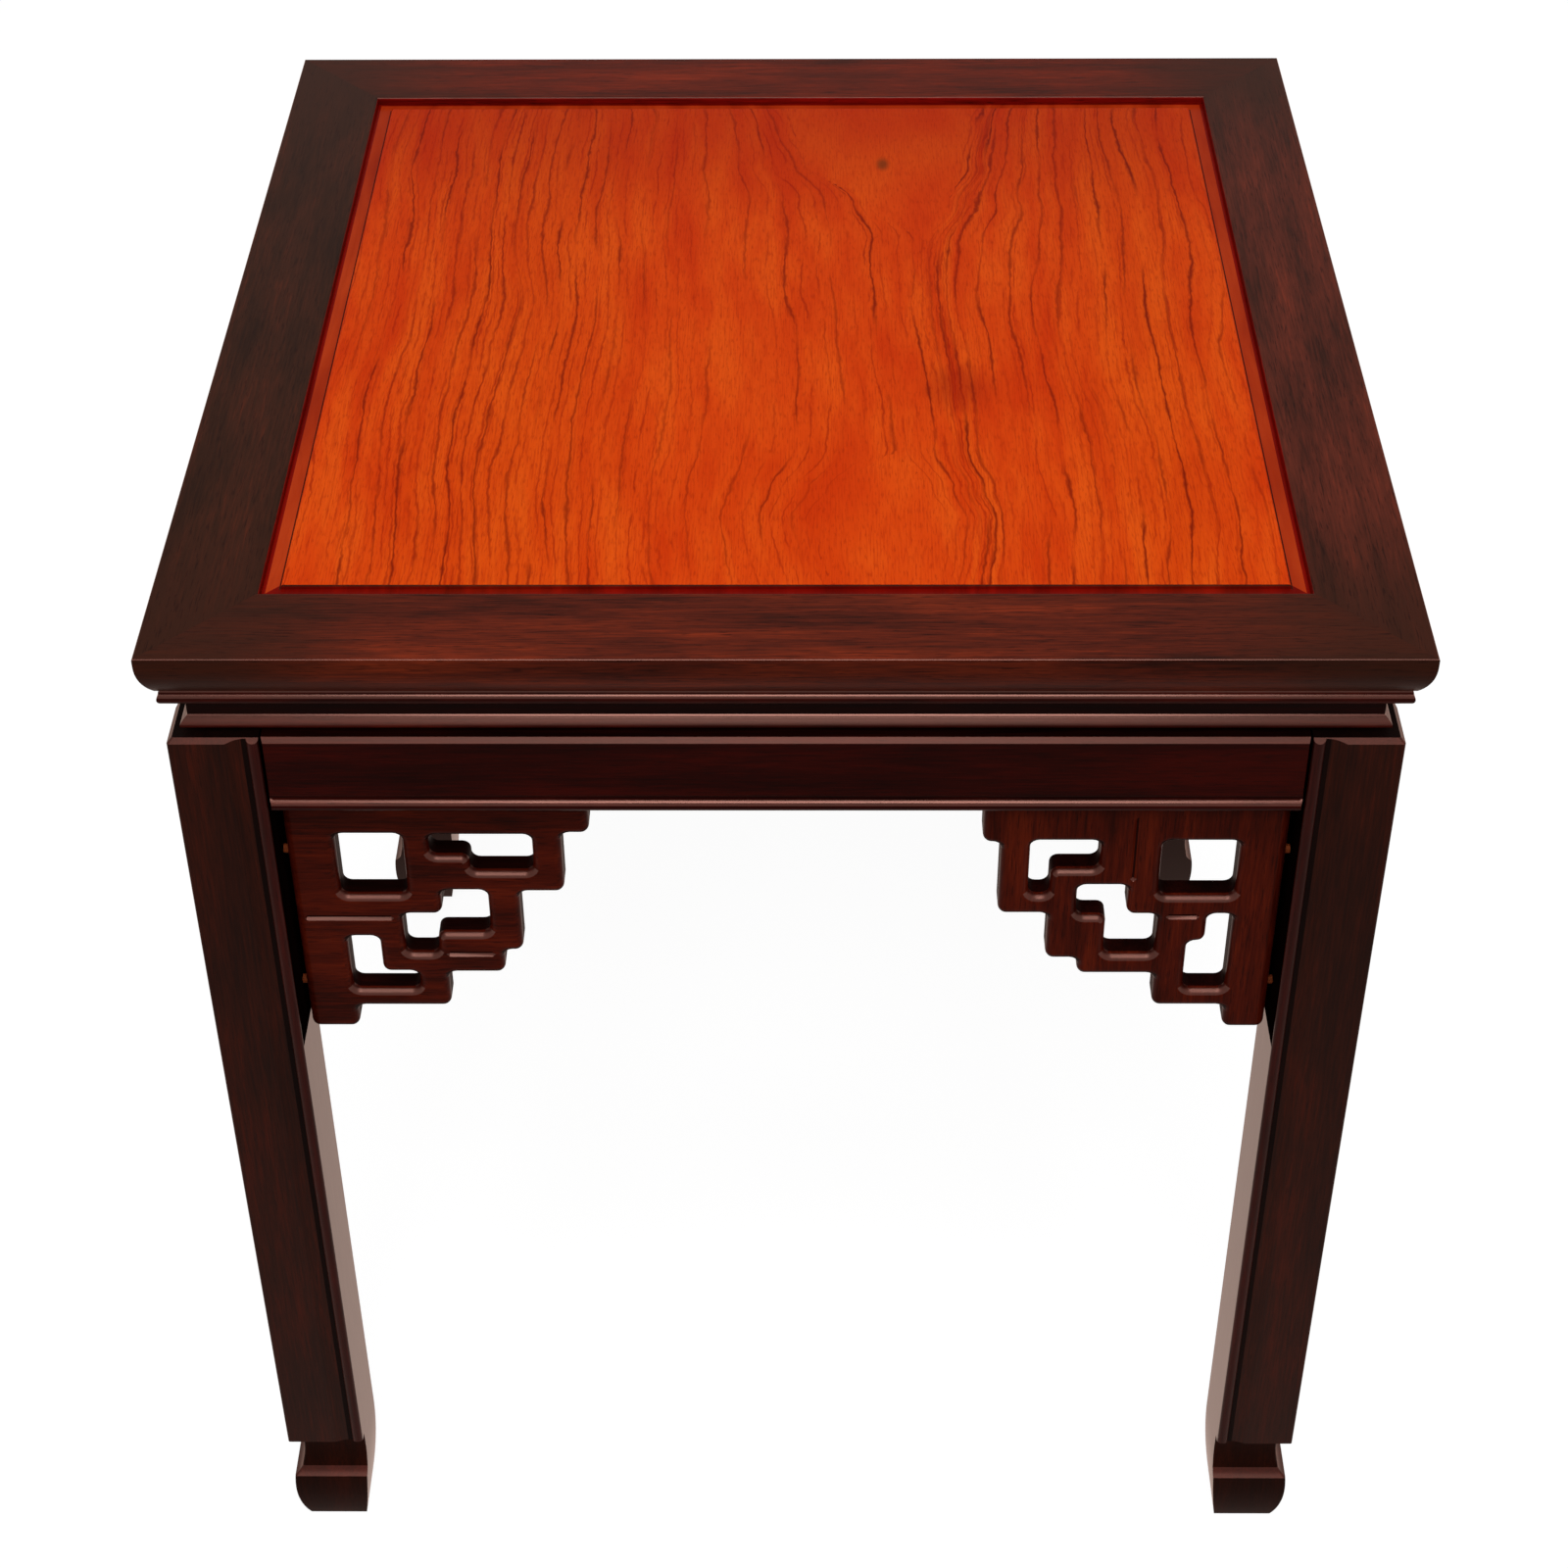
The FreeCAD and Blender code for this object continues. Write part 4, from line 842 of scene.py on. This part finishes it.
# How far a face looks: up on a ledge, down under the hoof, or in towards the table's middle
LEDGE_RISE = 0.4
UNDER_RISE = -0.5
INWARD_LEAST = 0.96
LEG_TONES = ((0.1, "#1b0804"), (0.5, "#2d1008"), (0.9, "#44180d"))
HOOF_TONES = ((0.1, "#140704"), (0.5, "#1f0c07"), (0.9, "#2c110a"))
# Near black: the legs' end grain on top, and painted shade underneath, in the scoop and in the gap
# beside the brackets.
END_GRAIN_AND_SHADE_TONES = ((0.1, "#060202"), (0.5, "#0c0403"), (0.9, "#140605"))
BEAD_TONES = ((0.1, "#220a09"), (0.5, "#330e0c"), (0.9, "#441512"))
leg_finishes = {
    "post": lacquered_rosewood("leg_rosewood", "z", LEG_TONES, sheen=0.05),
    "planed": planed_edge["z"],
    "end": lacquered_rosewood("leg_end_grain_and_shade", "z", END_GRAIN_AND_SHADE_TONES, gloss=0.6),
    "inside": lacquered_rosewood("leg_inner_face", "z", END_GRAIN_AND_SHADE_TONES, gloss=0.32, sheen=0.2),
    "bead": lacquered_rosewood("leg_bead_rosewood", "z", BEAD_TONES, sheen=0.06),
    "gap": lacquered_rosewood("painted_black_gap_wall", "z", END_GRAIN_AND_SHADE_TONES, gloss=0.6, sheen=0.0, coat=0.0),
    "hoof": lacquered_rosewood("hoof_rosewood", "z", HOOF_TONES, gloss=0.6),
}
LEG_TURNS = {"leg_back_right": 0, "leg_back_left": 90, "leg_front_left": 180, "leg_front_right": 270}


def leg_ring(up, outer, inner, scoop, climb):
    """A leg's outline at one height: how far the outer and inner faces are set in, how much of
    the scoop and bead there is, and how much higher it lies where the scoop is deep. The
    outer corner is at 0, 0, and the leg lies on the minus side of both axes."""
    face = []
    for run in range(FACE_RUNS + 1):
        angle = math.pi * run / FACE_RUNS
        face.append((SCOOP_DEPTH * (1 - math.sin(angle)), LEG_BEAD / 2 * (1 - math.cos(angle))))
    for run in range(1, FACE_RUNS + 1):
        share = run / FACE_RUNS
        face.append((SCOOP_DEPTH * (1 - share ** 2), LEG_BEAD + SCOOP_WIDTH * share))
    far = -LEG_SIZE + inner
    corner = -outer - LEG_ARRIS
    squeeze = (corner - far) / (LEG_SIZE - LEG_ARRIS)
    points = [(far, far, up)]
    for depth, across in face:
        points.append((-outer - depth * scoop, far + across * squeeze, up + depth * climb))
    for run in range(ARRIS_RUNS + 1):
        angle = math.pi / 2 * run / ARRIS_RUNS
        points.append((corner + LEG_ARRIS * math.cos(angle), corner + LEG_ARRIS * math.sin(angle), up))
    for depth, across in reversed(face):
        points.append((far + across * squeeze, -outer - depth * scoop, up + depth * climb))
    return points


def leg_levels(top, post_top, gap_foot):
    """Heights up a leg with the set-in of its faces, its share of scoop, and its climb."""
    levels = []
    swell = bow((-SOLE_INSET, 0), (-RIDGE_INSET, RIDGE_HEIGHT), HOOF_SWELL, SWELL_RUNS)
    ledge_back = (-RIDGE_INSET - LEDGE_DEPTH, RIDGE_HEIGHT + LEDGE_HEIGHT)
    ledge = bow((-RIDGE_INSET, RIDGE_HEIGHT), ledge_back, -FINE_ARRIS, LEDGE_RUNS)
    neck = bow(ledge_back, (-HOOF_STEP, HOOF_HEIGHT), -NECK_HOLLOW, NECK_RUNS)
    taper_radius = (SOLE_TAPER ** 2 + TAPER_HEIGHT ** 2) / (2 * SOLE_TAPER)
    for out, up, _ in swell + ledge[1:] + neck[1:]:
        rise = max(0.0, TAPER_HEIGHT - up)
        taper = taper_radius - math.sqrt(taper_radius ** 2 - rise ** 2)
        levels.append((up, -out, taper, 0.0, 0.0))
    levels.extend((
        (HOOF_HEIGHT, FINE_ARRIS, 0.0, 1.0, 0.0),
        (HOOF_HEIGHT + FINE_ARRIS, 0.0, 0.0, 1.0, 0.0),
        (gap_foot, 0.0, 0.0, 1.0, 0.0),
        (top - LEG_CHAMFER, 0.0, 0.0, 1.0, 1.0),
        (top, LEG_CHAMFER, 0.0, 0.0, 0.0),
        (top, POST_INSET, 0.0, 0.0, 0.0),
        (post_top, POST_INSET, 0.0, 0.0, 0.0),
    ))
    return levels


bracket_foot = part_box("bracket_front_left")[0].z


def leg_mark(face):
    """Which finish a face of a leg has: near-black end grain and painted shade on top and underneath,
    painted shade in the gap beside the brackets and in the bottom of the scoop, dull on the hoof,
    a plain sheen on a near-black inside, planed on ledge and chamfer, and a redder bead beside the
    scoop."""
    middle = face.calc_center_median()
    rise = face.normal.z
    if rise > FLAT_RISE or rise < UNDER_RISE:
        return "end"
    inward = [-math.copysign(1, spot) * slope for spot, slope in zip(middle.xy, face.normal.xy)]
    if max(inward) > INWARD_LEAST:
        return "inside" if middle.z < bracket_foot else "gap"
    if rise > LEDGE_RISE:
        return "planed"
    if middle.z < HOOF_HEIGHT:
        return "hoof"
    aside = min(abs(middle.x), abs(middle.y))
    if aside < shoulder + LEG_BEAD:
        return "bead"
    return "end" if aside < shoulder + LEG_BEAD + SCOOP_SHADE else "post"


for name, turn in LEG_TURNS.items():
    low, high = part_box(name)
    corner = Vector((high.x if high.x > 0 else low.x, high.y if high.y > 0 else low.y, 0))
    swing = Matrix.Rotation(math.radians(turn), 3, "Z")
    points = []
    levels = leg_levels(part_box("apron_front")[1].z, high.z - LEG_TENON, bracket_foot)
    for level in levels:
        for spot in leg_ring(*level):
            points.append(corner + swing @ Vector(spot))
    count = len(points) // len(levels)
    faces = [tuple(reversed(range(count))), *ring_walls(0, count, len(levels))]
    faces.append(tuple(range((len(levels) - 1) * count, len(levels) * count)))
    dressed_piece(f"hoofed_{name}", points, faces, leg_finishes, name, leg_mark)

# Fretwork brackets: eight pierced rosewood boards pegged to leg and apron, a left and a right
# pattern on each side. They are sawn to a stepped fret, their front edges are carved round,
# and fine cuts mark where the fret's bars pass each other.
CARVED_ROUND = 3.6 * MM
BACK_ROUND = 0.8 * MM
FRET_CORNER = 3.7 * MM
CORNER_RUNS = 5
ROUND_RUNS = 5
CUT_HALF = 1.5 * MM
CUT_DEPTH = 1.2 * MM
CUT_FLOOR_SHARE = 0.3
BACK_RUNS = 3
CUT_CORNERS = 6
FLOOR_CORNERS = 4
SAME_SPOT = 0.0001 * MM
WITHIN_EDGES = 1
# How far a face looks: out or back on the fret's flat, and down on the underside of a bar
FRET_FLAT_LEAST = 0.9
UNDERSIDE_RISE = -0.3
# Outline and openings, as shares of the length from the leg and of the drop from the apron
LEFT_FRET_SHARES = (
    ((0, 0), (1, 0), (1, 0.170), (0.906, 0.170), (0.906, 0.412), (0.754, 0.412), (0.754, 0.663),
     (0.687, 0.663), (0.687, 0.759), (0.491, 0.759), (0.491, 0.907), (0.166, 0.907), (0.166, 1), (0, 1)),
    ((0.159, 0.174), (0.381, 0.174), (0.381, 0.427), (0.159, 0.427)),
    ((0.467, 0.178), (0.808, 0.178), (0.808, 0.329), (0.597, 0.329), (0.597, 0.264), (0.467, 0.264)),
    ((0.491, 0.408), (0.647, 0.408), (0.647, 0.589), (0.467, 0.589),
     (0.467, 0.678), (0.354, 0.678), (0.354, 0.507), (0.491, 0.507)),
    ((0.159, 0.604), (0.268, 0.604), (0.268, 0.756), (0.389, 0.756), (0.389, 0.836), (0.159, 0.836)),
)
RIGHT_FRET_SHARES = (
    ((0, 0), (1, 0), (1, 0.207), (0.939, 0.207), (0.939, 0.503), (0.770, 0.503), (0.770, 0.696),
     (0.660, 0.696), (0.660, 0.763), (0.394, 0.763), (0.394, 0.903), (0.144, 0.903), (0.144, 1), (0, 1)),
    ((0.152, 0.201), (0.406, 0.201), (0.406, 0.430), (0.152, 0.430)),
    ((0.610, 0.201), (0.841, 0.201), (0.841, 0.427), (0.770, 0.427), (0.770, 0.319), (0.610, 0.319)),
    ((0.508, 0.385), (0.676, 0.385), (0.676, 0.514), (0.574, 0.514),
     (0.574, 0.681), (0.402, 0.681), (0.402, 0.507), (0.508, 0.507)),
    ((0.148, 0.507), (0.234, 0.507), (0.234, 0.622), (0.293, 0.622), (0.293, 0.833), (0.148, 0.833)),
)
# Fine cuts between bars, each from a spot to a spot, in the same shares
LEFT_CUT_SHARES = (((0.025, 0.515), (0.329, 0.515)), ((0.492, 0.671), (0.66, 0.671)))
RIGHT_CUT_SHARES = (((0.262, 0.508), (0.377, 0.508)), ((0.496, 0.096), (0.496, 0.360)))
FRETS = {
    "left": (1, LEFT_FRET_SHARES, LEFT_CUT_SHARES),
    "right": (-1, RIGHT_FRET_SHARES, RIGHT_CUT_SHARES),
}
BRACKET_TONES = ((0.1, "#2c0b05"), (0.5, "#4a160b"), (0.9, "#632210"))
# Painted shade: the walls of the openings, the bars' undersides and the cuts are near black.
FRET_SHADE_TONES = ((0.1, "#0c0302"), (0.5, "#180504"), (0.9, "#260906"))
fret_grain = grained("bracket_rosewood", "xyz", BRACKET_TONES)
carved_edge = grained("carved_edge_rosewood", "xyz", EDGE_TONES, sheen=0.7)
fret_shade_wall = grained("fret_wall_painted_shade", "xyz", FRET_SHADE_TONES, gloss=0.6)


def solid_on_left(loop, is_hole):
    """A loop turned so that the wood lies on its left as it is followed."""
    area = sum(a.x * b.y - b.x * a.y for a, b in zip(loop, loop[1:] + loop[:1]))
    return loop if (area > 0) != is_hole else list(reversed(loop))


def fret_loop(loop, inset):
    """A square-cornered loop moved into the wood by inset, with its corners rounded."""
    points = []
    for place, corner in enumerate(loop):
        arriving = (corner - loop[place - 1]).normalized()
        leaving = (loop[(place + 1) % len(loop)] - corner).normalized()
        left_arriving = Vector((-arriving.y, arriving.x))
        left_leaving = Vector((-leaving.y, leaving.x))
        moved = corner + inset * (left_arriving + left_leaving)
        turn = 1 if arriving.cross(leaving) > 0 else -1
        radius = FRET_CORNER - turn * inset
        centre = moved - arriving * radius + left_arriving * turn * radius
        for run in range(CORNER_RUNS + 1):
            swing = Matrix.Rotation(turn * math.pi / 2 * run / CORNER_RUNS, 2)
            points.append(centre + swing @ (-left_arriving * turn * radius))
    return points


def inside(spot, loop):
    """Whether a spot lies within a closed loop."""
    crossings = 0
    for a, b in zip(loop, loop[1:] + loop[:1]):
        if (a.y > spot.y) != (b.y > spot.y):
            crossings += spot.x < a.x + (b.x - a.x) * (spot.y - a.y) / (b.y - a.y)
    return crossings % 2 == 1


def loop_edges(first, count):
    """Edges round a closed loop of count points, from the point numbered first."""
    return [(first + k, first + (k + 1) % count) for k in range(count)]


def fret_face(loops, cuts):
    """Triangles over the flat of a fret between its loops, with each fine cut sunk into it."""
    spots = []
    edges = []
    for loop in loops:
        edges.extend(loop_edges(len(spots), len(loop)))
        spots.extend(loop)
    floors = set()
    for start, end in cuts:
        run = (end - start).normalized() * CUT_HALF
        aside = Vector((-run.y, run.x))
        edges.extend(loop_edges(len(spots), CUT_CORNERS))
        spots.extend((start, start + run - aside, end - run - aside,
                      end, end - run + aside, start + run + aside))
        foot = aside * CUT_FLOOR_SHARE
        floors.update(range(len(spots), len(spots) + FLOOR_CORNERS))
        edges.extend(loop_edges(len(spots), FLOOR_CORNERS))
        spots.extend((start + run - foot, end - run - foot, end - run + foot, start + run + foot))
    flat, _, triangles, origins, _, _ = delaunay_2d_cdt(spots, edges, [], WITHIN_EDGES, SAME_SPOT)
    kept = []
    for triangle in triangles:
        middle = sum((flat[k] for k in triangle), Vector((0, 0))) / 3
        if inside(middle, loops[0]) and not any(inside(middle, hole) for hole in loops[1:]):
            kept.append(tuple(triangle))
    sunk = [any(origin in floors for origin in origins[k]) for k in range(len(flat))]
    return flat, kept, sunk


def fret_board(length, drop, thickness, fret_shares, cut_shares):
    """Points and faces of one pierced board: across from the leg, up, and back from its face."""
    loops = []
    for number, shares in enumerate(fret_shares):
        corners = [Vector((far * length, -down * drop)) for far, down in shares]
        loops.append(solid_on_left(corners, number > 0))
    cuts = [[Vector((far * length, -down * drop)) for far, down in cut] for cut in cut_shares]
    section = []
    for run in range(ROUND_RUNS + 1):
        angle = math.pi / 2 * (1 - run / ROUND_RUNS)
        section.append((CARVED_ROUND * (1 - math.cos(angle)), CARVED_ROUND * (1 - math.sin(angle))))
    for run in range(BACK_RUNS + 1):
        angle = math.pi / 2 * run / BACK_RUNS
        section.append((BACK_ROUND * (1 - math.cos(angle)),
                        thickness - BACK_ROUND * (1 - math.sin(angle))))
    points = []
    faces = []
    for loop in loops:
        first = len(points)
        for inset, back in section:
            points.extend((spot.x, spot.y, back) for spot in fret_loop(loop, inset))
        count = (len(points) - first) // len(section)
        faces.extend(ring_walls(first, count, len(section)))
    for inset, back, lines in ((section[0][0], 0.0, cuts), (section[-1][0], thickness, [])):
        flat, triangles, sunk = fret_face([fret_loop(loop, inset) for loop in loops], lines)
        first = len(points)
        points.extend((spot.x, spot.y, back + CUT_DEPTH * low) for spot, low in zip(flat, sunk))
        faces.extend(tuple(first + k for k in triangle) for triangle in triangles)
    return points, faces


for side in SIDE_TURNS:
    out_axis = 0 if side in ("left", "right") else 1
    for end, (hand, fret_shares, cut_shares) in FRETS.items():
        node = f"bracket_{side}_{end}"
        low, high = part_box(node)
        length = high[1 - out_axis] - low[1 - out_axis]
        edge = max(abs(low[1 - out_axis]), abs(high[1 - out_axis]))
        face_out = max(abs(low[out_axis]), abs(high[out_axis]))
        thickness = high[out_axis] - low[out_axis]

        def fret_mark(face):
            """Which finish a face of a bracket has: painted shade in the cuts, under the bars and on the
            sawn walls behind the carved front, and a sheen on the carved edges."""
            depth = face_out - abs(face.calc_center_median()[out_axis])
            if abs(face.normal[out_axis]) > FRET_FLAT_LEAST:
                return "sawn" if CUT_DEPTH / 2 < depth < CARVED_ROUND else "flat"
            return "sawn" if depth > CARVED_ROUND or face.normal.z < UNDERSIDE_RISE else worked(face)

        points, faces = fret_board(length, high.z - low.z, thickness, fret_shares, cut_shares)
        placed = [side_spot(side, hand * (edge - far), face_out - back, high.z + up)
                  for far, up, back in points]
        grain = "z" if end == "right" else GRAIN_AXIS[side]
        finishes = {"flat": fret_grain[grain], "edge": carved_edge[grain], "sawn": fret_shade_wall[grain]}
        dressed_piece(f"carved_{node}", placed, faces, finishes, node, fret_mark)

# Pegs: round hardwood pins that hold each bracket to its leg across a narrow gap, and up
# to the apron. They are left bare, and show in the gap as small orange-brown spots.
PEG_TONES = ((0.1, "#5a2c18"), (0.5, "#7c4022"), (0.9, "#96522e"))
peg_wood = lacquered_rosewood("bare_peg_wood", "x", PEG_TONES, gloss=0.5)
for name in ("bracket_leg_pegs", "bracket_apron_pegs"):
    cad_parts[name].data.materials[0] = peg_wood
